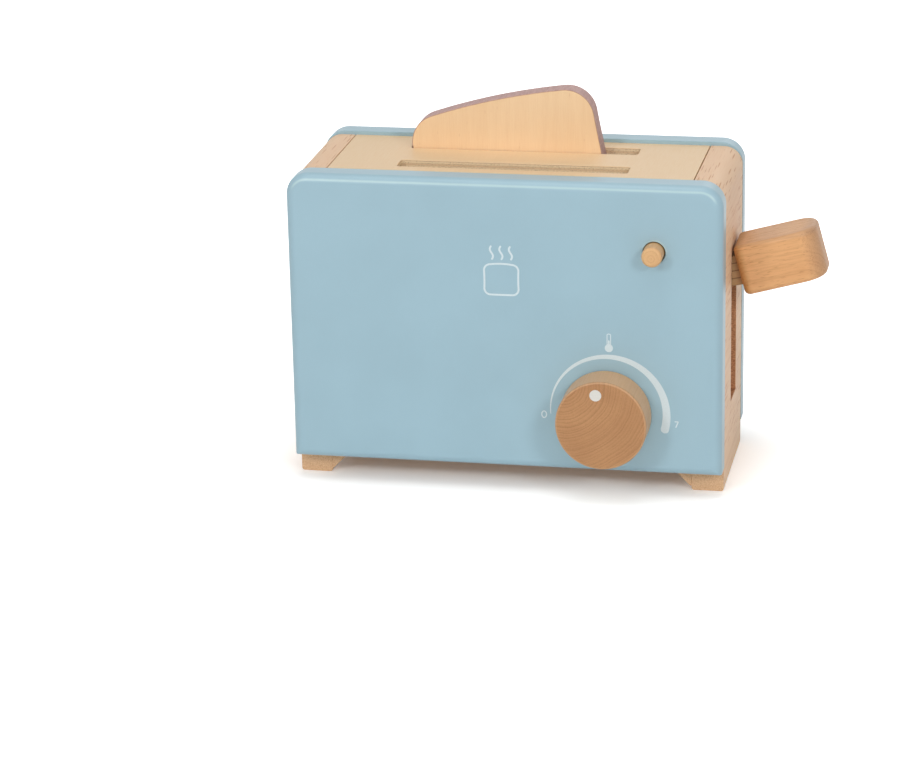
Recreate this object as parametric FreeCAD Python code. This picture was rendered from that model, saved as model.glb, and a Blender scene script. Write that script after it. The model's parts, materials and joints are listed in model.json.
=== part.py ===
import FreeCAD, Part
import math
import os

# A wooden toy toaster: two painted panels, a lift plate that swings on a dowel
# when its handle is pressed, a catch with a push button, a dial knob and one
# slice of toy bread standing in the rear slot.
#
# Everything is modelled about the middle of the box that the two panels make:
# X to the right, Y to the back, Z up from the floor.  The last section moves
# it all so that the origin is the middle of the whole toy's footprint.

# ---------------------------------------------------------------- the casing
BODY_W = 211.0              # outer width of the painted panels
BODY_D = 97.0               # front face to back face
PANEL_T = 13.0
PANEL_BOTTOM = 11.8         # the panels hang this far above the floor
PANEL_TOP = 156.0
PANEL_CORNER_R = 11.0       # upper corners, seen from the front
PANEL_ROUND_R = 4.5         # rounded outer edge, all the way round
PANEL_INNER_CHAMFER = 0.3

WALL_T = 15.7
WALL_INSET = 0.3            # side walls sit this far inside the panels' edges
WALL_CORNER_R = 9.0
TOP_DROP = 1.9              # wall tops and top board lie below the panels' tops
FOOT_ROUND_R = 1.3
FOOT_LEG = 13.0             # legs of the triangular block beside each wall

TOP_BOARD_T = 12.0
SEAM = 0.25                 # gap between the top board and each side wall
BOTTOM_BOARD_T = 6.0

SLOT_L = 112.6              # bread slots
SLOT_W = 12.4
SLOT_PITCH = 34.6           # front slot to rear slot
SLOT_END_R = 2.0
MIDDLE_Y = 2.0              # slots, lift plate and handle share this middle plane

LEVER_SLOT_W = 20.8
LEVER_SLOT_BOTTOM = 36.5
LEVER_SLOT_TOP = 111.6

PEG_SIDES = 12              # flats that glued dowels and screws are drawn with
DOWEL_R = 4.0               # dowels that join the panels to the side walls
DOWEL_L = 30.0
DOWEL_IN_PANEL = 9.0
DOWEL_HEIGHTS = (30.0, 126.0)

# ------------------------------------------------------------ the lift plate
REST_TILT = 13.0            # degrees; pressing the handle brings the plate level
HINGE_X = -79.0
HINGE_Z = 74.64
HINGE_ABOVE = 6.0           # hinge axis above the plate's upper face
HINGE_R = 4.0
HINGE_PLAY = 0.08           # running clearance of the plate on its dowel
HINGE_IN_PANEL = 7.0
BATTEN_HALF_W = 8.0
BATTEN_GAP = 0.4            # between the batten's ends and the panels

PLATE_T = 15.0
PLATE_W = 53.0
PLATE_L = 140.8             # hinge to the plate's broad end
PLATE_CORNER_R = 5.0
TONGUE_W = 19.6
TONGUE_END = 189.7          # hinge to the handle's inner face
SHOULDER_R = 6.0
GROOVE_START = 38.3
GROOVE_END = 135.2
GROOVE_DEPTH = 3.5
LEDGE_START = 146.8         # rebate in the tongue that the catch drops over
LEDGE_L = 12.0
LEDGE_DROP = 8.3
LEDGE_IN = 4.5
TENON_T = 9.0
TENON_W = 13.0
TENON_L = 20.0

HANDLE_L = 40.7
HANDLE_W = 28.6
HANDLE_H = 25.0
HANDLE_RAKE = 2.4           # degrees that the handle rises above the plate's own line
HANDLE_OUTER_R = 10.4       # corners of the outer end, seen from above
HANDLE_INNER_R = 3.6
HANDLE_EDGE_CHAMFER = 1.6

STOP_L = 30.0               # block that the plate comes down on
STOP_W = 24.0
STOP_X = 20.0
FELT_T = 2.0
STOP_GAP = 0.3

# ------------------------------------------------------------- bread to lift
SLICE_W = 94.0              # over the corners before they are rounded; 92.5 after
SLICE_H = 97.1
SLICE_T = 11.0
SLICE_CORNER_R = 14.2
SLICE_WAIST = 1.5           # each side draws in this much at half height
SLICE_CROWN = 3.4           # rise of the crust above the corners before they are rounded
SLICE_EDGE_CHAMFER = 0.4
SLICE_FROM_HINGE = 87.0

# --------------------------------------------------------------- return spring
EYE_WIRE_R = 0.8
EYE_RING_R = 3.4
EYE_SHANK_L = 8.0
EYE_STAND = 5.2             # ring centre above the wood
EYE_FROM_HINGE = 161.8
TOP_EYE_X = 80.0
SPRING_WIRE_R = 0.5
WIRE_SIDES = 6              # section that the thin wires are drawn with
TURN_STEPS = 12             # straight steps in one turn of a coil or ring
EYE_OPEN_STEPS = 1          # steps left open where an eye's ring closes on its shank
RETURN_SPRING_R = 3.2
RETURN_SPRING_TURNS = 8
HOOK_SWEEP = 250.0          # degrees of the hook at each end of the return spring
HOOK_PLAY = 0.15            # between a hook and the ring that it pulls on

# ------------------------------------------------------------- button and catch
BUTTON_X = 73.0
BUTTON_Z = 123.3
BUTTON_R = 4.95
BUTTON_HOLE_R = 5.5
BUTTON_PROUD = 8.5
BUTTON_TIP_CHAMFER = 0.6
BUTTON_INNER_END = -24.0
COLLAR_R = 8.0
COLLAR_T = 4.0
COLLAR_Y = -32.6

CATCH_T = 5.0
CATCH_PIVOT_Y = -20.0
CATCH_PIVOT_Z = 98.0
CATCH_PIN_R = 2.0
CATCH_PIN_PLAY = 0.06
CATCH_HALF_W = 3.5
CATCH_PAD_R = 3.0
CATCH_NOSE_Y = -8.1
CATCH_NOSE_Z = 60.3
CATCH_NOSE_H = 6.0
CATCH_SPRING_Z = 74.0
CATCH_SPRING_R = 3.2
CATCH_SPRING_TURNS = 4

BRACKET_W = 14.0
BRACKET_BASE_T = 3.0
BRACKET_EAR_T = 3.0
BRACKET_LOW = 84.0
BRACKET_HIGH = 112.0
EAR_ROOT = 8.0              # half height of an ear at the base and at its tip
EAR_TIP = 5.0

SCREW_SHANK_R = 1.25
SCREW_HEAD_R = 2.4
SCREW_HEAD_T = 1.4
SCREW_L = 9.0

# ------------------------------------------------------------------- the dial
KNOB_X = 49.9
KNOB_Z = 41.9
KNOB_R = 22.0
KNOB_T = 18.0
KNOB_GAP = 0.5
KNOB_EDGE_CHAMFER = 0.9
AXLE_R = 5.0
AXLE_PLAY = 0.08
AXLE_IN_KNOB = 12.0
RETAINER_R = 11.0
RETAINER_T = 6.0
RETAINER_LAP = 1.5          # the screw's head laps this far over the retainer

# ------------------------------------------------------------ derived places
FRONT_Y = -BODY_D / 2
INNER_FRONT_Y = FRONT_Y + PANEL_T
BACK_Y = BODY_D / 2
INNER_BACK_Y = BACK_Y - PANEL_T
INNER_D = INNER_BACK_Y - INNER_FRONT_Y
WALL_OUT = BODY_W / 2 - WALL_INSET
WALL_IN = WALL_OUT - WALL_T
WALL_TOP = PANEL_TOP - TOP_DROP
SLOT_YS = (MIDDLE_Y - SLOT_PITCH / 2, MIDDLE_Y + SLOT_PITCH / 2)
FLOOR_BOARD_Z = FOOT_ROUND_R + FOOT_LEG + 0.2
HINGE = FreeCAD.Vector(HINGE_X, 0, HINGE_Z)
PLATE_HIGH = HINGE_Z - HINGE_ABOVE      # the plate's faces and middle when it is level
PLATE_LOW = PLATE_HIGH - PLATE_T
PLATE_MID = PLATE_HIGH - PLATE_T / 2

X_AXIS = FreeCAD.Vector(1, 0, 0)
Y_AXIS = FreeCAD.Vector(0, 1, 0)
Z_AXIS = FreeCAD.Vector(0, 0, 1)


def point(x, y, z):
    return FreeCAD.Vector(x, y, z)


def box(x0, x1, y0, y1, z0, z1):
    """A block between two corners."""
    return Part.makeBox(x1 - x0, y1 - y0, z1 - z0, point(x0, y0, z0))


def rod(radius, start, axis, length):
    return Part.makeCylinder(radius, length, start, axis)


def round_peg(radius, start, axis, length):
    """Small dowel, screw or wire stretch, drawn with flats."""
    turn = FreeCAD.Rotation(Z_AXIS, axis)
    corners = []
    for i in range(PEG_SIDES + 1):
        angle = 2 * math.pi * (i + 0.5) / PEG_SIDES
        corner = point(radius * math.cos(angle), radius * math.sin(angle), 0)
        corners.append(start + turn.multVec(corner))
    return Part.Face(Part.makePolygon(corners)).extrude(axis * length)


def path_from(corners, plane):
    """Closed outline through (a, b, round) corners, each rounded by a tangent arc.

    plane turns an (a, b) pair into a point in space."""
    edges = []
    joints = []
    count = len(corners)
    for i in range(count):
        a, b, radius = corners[i]
        before = corners[i - 1]
        after = corners[(i + 1) % count]
        to_before = FreeCAD.Vector(before[0] - a, before[1] - b, 0).normalize()
        to_after = FreeCAD.Vector(after[0] - a, after[1] - b, 0).normalize()
        here = FreeCAD.Vector(a, b, 0)
        if radius == 0:
            joints.append((here, here, None))
            continue
        half = to_before.getAngle(to_after) / 2
        setback = radius / math.tan(half)
        middle = (to_before + to_after).normalize()
        centre = here + middle * (radius / math.sin(half))
        joints.append((here + to_before * setback, here + to_after * setback,
                       centre - middle * radius))
    for i in range(count):
        start, end, crest = joints[i]
        if crest is not None:
            edges.append(Part.Arc(plane(start), plane(crest), plane(end)).toShape())
        following = joints[(i + 1) % count][0]
        if (following - end).Length > 1e-6:
            edges.append(Part.LineSegment(plane(end), plane(following)).toShape())
    return Part.Wire(edges)


def slab_xz(corners, y0, y1):
    """Outline in X and Z, carried from y0 to y1."""
    wire = path_from(corners, lambda p: point(p.x, y0, p.y))
    return Part.Face(wire).extrude(point(0, y1 - y0, 0))


def slab_xy(corners, z0, z1):
    """Outline in X and Y, carried from z0 to z1."""
    wire = path_from(corners, lambda p: point(p.x, p.y, z0))
    return Part.Face(wire).extrude(point(0, 0, z1 - z0))


def slab_yz(corners, x0, x1):
    """Outline in Y and Z, carried from x0 to x1."""
    wire = path_from(corners, lambda p: point(x0, p.x, p.y))
    return Part.Face(wire).extrude(point(x1 - x0, 0, 0))


def edges_where(shape, test):
    """Edges whose middle point passes the test."""
    found = []
    for edge in shape.Edges:
        middle = edge.valueAt((edge.FirstParameter + edge.LastParameter) / 2)
        if test(middle):
            found.append(edge)
    return found


def bent_wire(points, radius):
    """Thin wire bent through the points, with mitred steps."""
    square_on = FreeCAD.Rotation(Z_AXIS, points[1] - points[0])
    section = []
    for i in range(WIRE_SIDES + 1):
        angle = 2 * math.pi * i / WIRE_SIDES
        corner = point(radius * math.cos(angle), radius * math.sin(angle), 0)
        section.append(points[0] + square_on.multVec(corner))
    right_corners = 1
    return Part.makePolygon(points).makePipeShell([Part.makePolygon(section)], True, False,
                                                  right_corners)


def coil_points(radius, turns, length):
    """A helix about Z that starts and ends on the X side."""
    points = []
    for i in range(turns * TURN_STEPS + 1):
        angle = 2 * math.pi * i / TURN_STEPS
        points.append(point(radius * math.cos(angle), radius * math.sin(angle),
                            length * i / (turns * TURN_STEPS)))
    return points


def hook_points(radius, base_z, outward):
    """Open loop in the XZ plane beyond a coil's end at base_z; outward is 1 or -1."""
    points = []
    steps = round(TURN_STEPS * HOOK_SWEEP / 360)
    for i in range(steps + 1):
        angle = math.radians(HOOK_SWEEP) * i / steps
        points.append(point(radius * math.cos(angle), 0,
                            base_z + outward * radius * (1 + math.sin(angle))))
    return points


def with_handle_rake(shape):
    """Turns a piece that was drawn along the plate to the handle's steeper line."""
    turned = shape.copy()
    turned.rotate(point(HINGE_X + TONGUE_END, 0, PLATE_MID), Y_AXIS, -HANDLE_RAKE)
    return turned


def with_hinge_tilt(shape):
    """Swings a piece that was drawn level, about the hinge, to its raised place."""
    turned = shape.copy()
    turned.rotate(HINGE, Y_AXIS, -REST_TILT)
    return turned


# ------------------------------------------------------------------ the casing
def panel(outer_y, inner_y):
    """One painted panel, with a large round along its outer face's edge."""
    half = BODY_W / 2
    outline = [(-half, PANEL_BOTTOM, 0), (half, PANEL_BOTTOM, 0),
               (half, PANEL_TOP, PANEL_CORNER_R), (-half, PANEL_TOP, PANEL_CORNER_R)]
    board = slab_xz(outline, outer_y, inner_y)
    rim = edges_where(board, lambda m: abs(m.y - outer_y) < 1e-3)
    board = board.makeFillet(PANEL_ROUND_R, rim)
    inner_rim = edges_where(board, lambda m: abs(m.y - inner_y) < 1e-3)
    return board.makeChamfer(PANEL_INNER_CHAMFER, inner_rim)


def panel_dowels():
    """Eight dowels, two at each end of each panel."""
    dowels = []
    wall_x = (WALL_OUT + WALL_IN) / 2
    for side in (-1, 1):
        for height in DOWEL_HEIGHTS:
            front = point(side * wall_x, INNER_FRONT_Y - DOWEL_IN_PANEL, height)
            back = point(side * wall_x, INNER_BACK_Y + DOWEL_IN_PANEL, height)
            dowels.append(round_peg(DOWEL_R, front, Y_AXIS, DOWEL_L))
            dowels.append(round_peg(DOWEL_R, back, -Y_AXIS, DOWEL_L))
    return Part.makeCompound(dowels)


def side_wall(side):
    """Wall board that runs down to the floor, where its end is a foot."""
    outline = [(side * WALL_IN, 0, FOOT_ROUND_R), (side * WALL_OUT, 0, FOOT_ROUND_R),
               (side * WALL_OUT, WALL_TOP, WALL_CORNER_R), (side * WALL_IN, WALL_TOP, 0)]
    return slab_xz(outline, INNER_FRONT_Y, INNER_BACK_Y)


def lever_slot():
    half = LEVER_SLOT_W / 2
    return box(WALL_IN - 1, WALL_OUT + 1, MIDDLE_Y - half, MIDDLE_Y + half,
               LEVER_SLOT_BOTTOM, LEVER_SLOT_TOP)


def foot_block(side):
    """Three-cornered glue block that braces a wall and carries the floor board."""
    inner = side * WALL_IN
    top = FLOOR_BOARD_Z
    outline = [(inner, top - FOOT_LEG, 0), (inner, top, 0), (inner - side * FOOT_LEG, top, 0)]
    return slab_xz(outline, INNER_FRONT_Y, INNER_BACK_Y)


def bread_slot(centre_y, length, width, z0, z1):
    half_l = length / 2
    half_w = width / 2
    outline = [(-half_l, centre_y - half_w, SLOT_END_R), (half_l, centre_y - half_w, SLOT_END_R),
               (half_l, centre_y + half_w, SLOT_END_R), (-half_l, centre_y + half_w, SLOT_END_R)]
    return slab_xy(outline, z0, z1)


def top_board():
    board = box(-WALL_IN + SEAM, WALL_IN - SEAM, INNER_FRONT_Y, INNER_BACK_Y,
                WALL_TOP - TOP_BOARD_T, WALL_TOP)
    for centre_y in SLOT_YS:
        board = board.cut(bread_slot(centre_y, SLOT_L, SLOT_W, WALL_TOP - TOP_BOARD_T - 1, WALL_TOP + 1))
    return board


def bottom_board():
    return box(-WALL_IN, WALL_IN, INNER_FRONT_Y, INNER_BACK_Y,
               FLOOR_BOARD_Z, FLOOR_BOARD_Z + BOTTOM_BOARD_T)


def hinge_dowel():
    start = point(HINGE_X, INNER_FRONT_Y - HINGE_IN_PANEL, HINGE_Z)
    return rod(HINGE_R, start, Y_AXIS, INNER_D + 2 * HINGE_IN_PANEL)


def stop_parts():
    """Block on the floor board, and the felt on it that quiets the plate."""
    top = PLATE_LOW - STOP_GAP
    front = MIDDLE_Y - STOP_W / 2
    low = FLOOR_BOARD_Z + BOTTOM_BOARD_T
    corners = [(STOP_X, front, 2), (STOP_X + STOP_L, front, 2),
               (STOP_X + STOP_L, front + STOP_W, 2), (STOP_X, front + STOP_W, 2)]
    return slab_xy(corners, low, top - FELT_T), slab_xy(corners, top - FELT_T, top)


# --------------------------------------------------------------- the lift plate
def lift_plate():
    """Plywood plate drawn level: a broad bed, then a tongue and its tenon."""
    front = MIDDLE_Y - PLATE_W / 2
    back = MIDDLE_Y + PLATE_W / 2
    tongue_front = MIDDLE_Y - TONGUE_W / 2
    tongue_back = MIDDLE_Y + TONGUE_W / 2
    bed_end = HINGE_X + PLATE_L
    tip = HINGE_X + TONGUE_END
    end = HINGE_X - BATTEN_HALF_W
    plan = [(end, front, 1.0), (bed_end, front, PLATE_CORNER_R),
            (bed_end, tongue_front, SHOULDER_R), (tip + 1, tongue_front, 0),
            (tip + 1, tongue_back, 0), (bed_end, tongue_back, SHOULDER_R),
            (bed_end, back, PLATE_CORNER_R), (end, back, 1.0)]
    plate = slab_xy(plan, PLATE_LOW, PLATE_HIGH)
    handle_side = box(tip, tip + 5, tongue_front - 1, tongue_back + 1, PLATE_LOW - 1, PLATE_HIGH + 1)
    plate = plate.cut(with_handle_rake(handle_side))
    plate = plate.fuse(tenon(tip)).removeSplitter()
    for centre_y in SLOT_YS:
        plate = plate.cut(slice_groove(centre_y))
    ledge_x = HINGE_X + LEDGE_START
    ledge = box(ledge_x, ledge_x + LEDGE_L, tongue_front - 1, tongue_front + LEDGE_IN,
                PLATE_HIGH - LEDGE_DROP, PLATE_HIGH + 1)
    return plate.cut(ledge)


def tenon(start_x):
    """Square peg on the tongue's end, and the hole for it in the handle."""
    half_w = TENON_W / 2
    half_t = TENON_T / 2
    return box(start_x - 1, start_x + TENON_L, MIDDLE_Y - half_w, MIDDLE_Y + half_w,
               PLATE_MID - half_t, PLATE_MID + half_t)


def slice_groove(centre_y):
    """Shallow trough that the lower crust of a slice stands in."""
    y0 = centre_y - SLOT_W / 2
    y1 = centre_y + SLOT_W / 2
    return box(HINGE_X + GROOVE_START, HINGE_X + GROOVE_END, y0, y1,
               PLATE_HIGH - GROOVE_DEPTH, PLATE_HIGH + 1)


def hinge_batten():
    """Batten glued across the plate's end, with the bore that turns on the dowel.

    It reaches almost from panel to panel, which keeps the plate in the middle."""
    front = INNER_FRONT_Y + BATTEN_GAP
    back = INNER_BACK_Y - BATTEN_GAP
    half = BATTEN_HALF_W
    round_r = half - 0.1
    outline = [(HINGE_X - half, PLATE_HIGH, 0), (HINGE_X + half, PLATE_HIGH, 0),
               (HINGE_X + half, HINGE_Z + half, round_r), (HINGE_X - half, HINGE_Z + half, round_r)]
    batten = slab_xz(outline, front, back)
    return batten.cut(rod(HINGE_R + HINGE_PLAY, point(HINGE_X, front, HINGE_Z), Y_AXIS, back - front))


def lever_handle():
    """Beech handle for the level plate: a raked block with a wide round outer end."""
    inner = HINGE_X + TONGUE_END
    outer = inner + HANDLE_L
    y0 = MIDDLE_Y - HANDLE_W / 2
    y1 = MIDDLE_Y + HANDLE_W / 2
    plan = [(inner, y0, HANDLE_INNER_R), (outer, y0, HANDLE_OUTER_R),
            (outer, y1, HANDLE_OUTER_R), (inner, y1, HANDLE_INNER_R)]
    z0 = PLATE_MID - HANDLE_H / 2
    z1 = PLATE_MID + HANDLE_H / 2
    block = slab_xy(plan, z0, z1)
    rims = edges_where(block, lambda m: abs(m.z - z0) < 1e-3 or abs(m.z - z1) < 1e-3)
    block = block.makeChamfer(HANDLE_EDGE_CHAMFER, rims)
    return with_handle_rake(block).cut(tenon(inner))


# --------------------------------------------------------- spring and its eyes
def screw_eye(foot, outward):
    """Screw eye: one wire, a shank in the wood that bends round into a ring."""
    points = [point(0, 0, -EYE_SHANK_L)]
    for i in range(TURN_STEPS - EYE_OPEN_STEPS + 1):
        angle = 2 * math.pi * i / TURN_STEPS
        points.append(point(EYE_RING_R * math.sin(angle), 0, EYE_STAND - EYE_RING_R * math.cos(angle)))
    eye = bent_wire(points, EYE_WIRE_R)
    eye.Placement = FreeCAD.Placement(foot, FreeCAD.Rotation(Z_AXIS, outward))
    return eye


def plate_screw_eye():
    """Drawn level, as the plate is."""
    return screw_eye(point(HINGE_X + EYE_FROM_HINGE, MIDDLE_Y, PLATE_HIGH), Z_AXIS)


def top_screw_eye():
    return screw_eye(point(TOP_EYE_X, MIDDLE_Y, WALL_TOP - TOP_BOARD_T), -Z_AXIS)


def return_spring():
    """Spring that pulls the plate's tongue up, hooked into the two screw eyes.

    Each hook stands square to the ring that it pulls on."""
    level = point(HINGE_X + EYE_FROM_HINGE, MIDDLE_Y, PLATE_HIGH + EYE_STAND)
    lower = HINGE + FreeCAD.Rotation(Y_AXIS, -REST_TILT).multVec(level - HINGE)
    upper = point(TOP_EYE_X, MIDDLE_Y, WALL_TOP - TOP_BOARD_T - EYE_STAND)
    along = (upper - lower).normalize()
    to_hook = EYE_RING_R - EYE_WIRE_R - SPRING_WIRE_R - HOOK_PLAY
    to_coil = to_hook + 2 * RETURN_SPRING_R
    length = (upper - lower).Length - 2 * to_coil
    low_hook = hook_points(RETURN_SPRING_R, 0, -1)
    low_hook.reverse()
    high_hook = hook_points(RETURN_SPRING_R, length, 1)
    points = low_hook + coil_points(RETURN_SPRING_R, RETURN_SPRING_TURNS, length) + high_hook
    spring = bent_wire(points, SPRING_WIRE_R)
    turn = FreeCAD.Rotation(Y_AXIS, along.cross(Y_AXIS), along, "ZXY")
    spring.Placement = FreeCAD.Placement(lower + along * to_coil, turn)
    return spring


# ------------------------------------------------------------- button and catch
def release_button():
    tip = point(BUTTON_X, FRONT_Y - BUTTON_PROUD, BUTTON_Z)
    peg = rod(BUTTON_R, tip, Y_AXIS, BUTTON_INNER_END - tip.y)
    rim = edges_where(peg, lambda m: abs(m.y - tip.y) < 1e-3)
    return peg.makeChamfer(BUTTON_TIP_CHAMFER, rim)


def button_collar():
    """Ring glued on the button's tail, too wide for the hole in the panel."""
    start = point(BUTTON_X, COLLAR_Y, BUTTON_Z)
    ring = rod(COLLAR_R, start, Y_AXIS, COLLAR_T)
    return ring.cut(rod(BUTTON_R, start, Y_AXIS, COLLAR_T))


def catch_lever():
    """Rocking hook: a pad for the button above its pin, a nose for the tongue below."""
    y = CATCH_PIVOT_Y
    half = CATCH_HALF_W
    neck = half - 1.3
    nose_low = CATCH_NOSE_Z
    nose_high = nose_low + CATCH_NOSE_H
    outline = [(y - half, nose_low, 2.0), (CATCH_NOSE_Y, nose_low, 0),
               (CATCH_NOSE_Y, nose_low + 1.6, 0), (y + half, nose_high + 3.4, 0),
               (y + half, CATCH_PIVOT_Z + 8, 0), (y + half - 1.0, BUTTON_Z + 2.4, 0),
               (y - neck, BUTTON_Z + 2.4, 0), (y - neck, CATCH_PIVOT_Z + 10, 0),
               (y - half, CATCH_PIVOT_Z + 4, 0)]
    half_t = CATCH_T / 2
    lever = slab_yz(outline, BUTTON_X - half_t, BUTTON_X + half_t)
    pad_start = point(BUTTON_X - half_t, BUTTON_INNER_END + 0.3 + CATCH_PAD_R, BUTTON_Z)
    lever = lever.fuse(rod(CATCH_PAD_R, pad_start, X_AXIS, CATCH_T)).removeSplitter()
    pin_start = point(BUTTON_X - half_t - 1, CATCH_PIVOT_Y, CATCH_PIVOT_Z)
    return lever.cut(rod(CATCH_PIN_R + CATCH_PIN_PLAY, pin_start, X_AXIS, CATCH_T + 2))


def bracket_screw_heights():
    return (BRACKET_LOW + 3.6, BRACKET_HIGH - 3.6)


def catch_bracket():
    """Base on the panel's inner face, with two ears that hold the catch's pin."""
    x0 = BUTTON_X - BRACKET_W / 2
    x1 = BUTTON_X + BRACKET_W / 2
    base_y = INNER_FRONT_Y + BRACKET_BASE_T
    base = box(x0, x1, INNER_FRONT_Y, base_y, BRACKET_LOW, BRACKET_HIGH)
    ear_tip = CATCH_PIVOT_Y + EAR_TIP
    ear = [(INNER_FRONT_Y, CATCH_PIVOT_Z - EAR_ROOT, 0), (ear_tip, CATCH_PIVOT_Z - EAR_TIP, 0),
           (ear_tip, CATCH_PIVOT_Z + EAR_TIP, 0), (INNER_FRONT_Y, CATCH_PIVOT_Z + EAR_ROOT, 0)]
    bracket = base
    for ear_x in (x0, x1 - BRACKET_EAR_T):
        bracket = bracket.fuse(slab_yz(ear, ear_x, ear_x + BRACKET_EAR_T))
    bracket = bracket.removeSplitter()
    pin_hole = rod(CATCH_PIN_R, point(x0 - 1, CATCH_PIVOT_Y, CATCH_PIVOT_Z), X_AXIS, BRACKET_W + 2)
    bracket = bracket.cut(pin_hole)
    for height in bracket_screw_heights():
        bracket = bracket.cut(panel_screw(BUTTON_X, height))
    return bracket


def panel_screw(x, z):
    """Flat-headed screw through the bracket's base into the front panel."""
    head_y = INNER_FRONT_Y + BRACKET_BASE_T
    head = round_peg(SCREW_HEAD_R, point(x, head_y, z), Y_AXIS, SCREW_HEAD_T)
    return head.fuse(round_peg(SCREW_SHANK_R, point(x, head_y, z), -Y_AXIS, SCREW_L))


def bracket_screws():
    return Part.makeCompound([panel_screw(BUTTON_X, height) for height in bracket_screw_heights()])


def catch_pin():
    start = point(BUTTON_X - BRACKET_W / 2, CATCH_PIVOT_Y, CATCH_PIVOT_Z)
    return rod(CATCH_PIN_R, start, X_AXIS, BRACKET_W)


def catch_spring():
    """Open coil that pushes the catch's nose towards the tongue."""
    length = CATCH_PIVOT_Y - CATCH_HALF_W - INNER_FRONT_Y - 2 * SPRING_WIRE_R
    spring = bent_wire(coil_points(CATCH_SPRING_R, CATCH_SPRING_TURNS, length), SPRING_WIRE_R)
    start = point(BUTTON_X, INNER_FRONT_Y + SPRING_WIRE_R, CATCH_SPRING_Z)
    spring.Placement = FreeCAD.Placement(start, FreeCAD.Rotation(Z_AXIS, Y_AXIS))
    return spring


# -------------------------------------------------------------------- the dial
def knob():
    back = FRONT_Y - KNOB_GAP
    disc = rod(KNOB_R, point(KNOB_X, back, KNOB_Z), -Y_AXIS, KNOB_T)
    rim = edges_where(disc, lambda m: abs(m.y - back + KNOB_T) < 1e-3)
    disc = disc.makeChamfer(KNOB_EDGE_CHAMFER, rim)
    return disc.cut(rod(AXLE_R, point(KNOB_X, back, KNOB_Z), -Y_AXIS, AXLE_IN_KNOB))


def knob_axle():
    start = point(KNOB_X, FRONT_Y - KNOB_GAP - AXLE_IN_KNOB, KNOB_Z)
    end = INNER_FRONT_Y + KNOB_GAP + RETAINER_T
    axle = rod(AXLE_R, start, Y_AXIS, end - start.y)
    return axle.cut(retainer_screw())


def knob_retainer():
    """Disc on the axle's inner end that keeps the knob from pulling out."""
    start = point(KNOB_X, INNER_FRONT_Y + KNOB_GAP, KNOB_Z)
    disc = rod(RETAINER_R, start, Y_AXIS, RETAINER_T)
    return disc.cut(rod(AXLE_R, start, Y_AXIS, RETAINER_T))


def retainer_screw():
    """Screw in the axle's end, with a wide flat head over the retainer."""
    end = INNER_FRONT_Y + KNOB_GAP + RETAINER_T
    start = point(KNOB_X, end, KNOB_Z)
    head = round_peg(AXLE_R + RETAINER_LAP, start, Y_AXIS, SCREW_HEAD_T)
    return head.fuse(round_peg(SCREW_SHANK_R, start, -Y_AXIS, SCREW_L))


# ------------------------------------------------------------------- the bread
def toast_slice():
    """Slice drawn upright on the level plate, in the rear slot.

    Its sides are arcs drawn in at the waist and its crust is a shallow arc;
    the four corners are rounded."""
    half = SLICE_W / 2
    centre_x = HINGE_X + SLICE_FROM_HINGE
    bottom = PLATE_HIGH - GROOVE_DEPTH
    y0 = SLOT_YS[1] - SLICE_T / 2
    side_top = SLICE_H - SLICE_CROWN
    waist = half - SLICE_WAIST

    def at(x, z):
        return point(centre_x + x, y0, bottom + z)

    outline = [
        Part.LineSegment(at(-half, 0), at(half, 0)),
        Part.Arc(at(half, 0), at(waist, side_top / 2), at(half, side_top)),
        Part.Arc(at(half, side_top), at(0, SLICE_H), at(-half, side_top)),
        Part.Arc(at(-half, side_top), at(-waist, side_top / 2), at(-half, 0)),
    ]
    wire = Part.Wire([curve.toShape() for curve in outline])
    bread = Part.Face(wire).extrude(point(0, SLICE_T, 0))
    corners = edges_where(bread, lambda m: abs(m.y - y0 - SLICE_T / 2) < 1e-3)
    bread = bread.makeFillet(SLICE_CORNER_R, corners)
    rims = edges_where(bread, lambda m: abs(m.y - y0) < 1e-3 or abs(m.y - y0 - SLICE_T) < 1e-3)
    return bread.makeChamfer(SLICE_EDGE_CHAMFER, rims)


# ---------------------------------------------------------------- put together
def build():
    """All the pieces by name, about the middle of the casing."""
    dowels = panel_dowels()
    hinge = hinge_dowel()
    stop_block, stop_felt = stop_parts()
    plate_eye = plate_screw_eye()
    top_eye = top_screw_eye()

    front = panel(FRONT_Y, INNER_FRONT_Y).cut(dowels).cut(hinge)
    button_hole = rod(BUTTON_HOLE_R, point(BUTTON_X, FRONT_Y - 1, BUTTON_Z), Y_AXIS, PANEL_T + 2)
    axle_hole = rod(AXLE_R + AXLE_PLAY, point(KNOB_X, FRONT_Y - 1, KNOB_Z), Y_AXIS, PANEL_T + 2)
    front = front.cut(button_hole).cut(axle_hole).cut(bracket_screws())
    back = panel(BACK_Y, INNER_BACK_Y).cut(dowels).cut(hinge)

    return {
        "front_panel": front,
        "back_panel": back,
        "left_side_wall": side_wall(-1).cut(dowels),
        "right_side_wall": side_wall(1).cut(dowels).cut(lever_slot()),
        "left_foot_block": foot_block(-1),
        "right_foot_block": foot_block(1),
        "top_board": top_board().cut(top_eye),
        "bottom_board": bottom_board(),
        "panel_dowels": dowels,
        "hinge_dowel": hinge,
        "stop_block": stop_block,
        "stop_felt": stop_felt,
        "top_screw_eye": top_eye,
        "return_spring": return_spring(),
        "lift_plate": with_hinge_tilt(lift_plate().cut(plate_eye)),
        "hinge_batten": with_hinge_tilt(hinge_batten()),
        "lever_handle": with_hinge_tilt(lever_handle()),
        "plate_screw_eye": with_hinge_tilt(plate_eye),
        "release_button": release_button(),
        "button_collar": button_collar(),
        "catch_lever": catch_lever(),
        "catch_bracket": catch_bracket(),
        "bracket_screws": bracket_screws(),
        "catch_pin": catch_pin(),
        "catch_spring": catch_spring(),
        "knob": knob(),
        "knob_axle": knob_axle(),
        "knob_retainer": knob_retainer(),
        "retainer_screw": retainer_screw(),
        "toast_slice": with_hinge_tilt(toast_slice()),
    }


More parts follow.
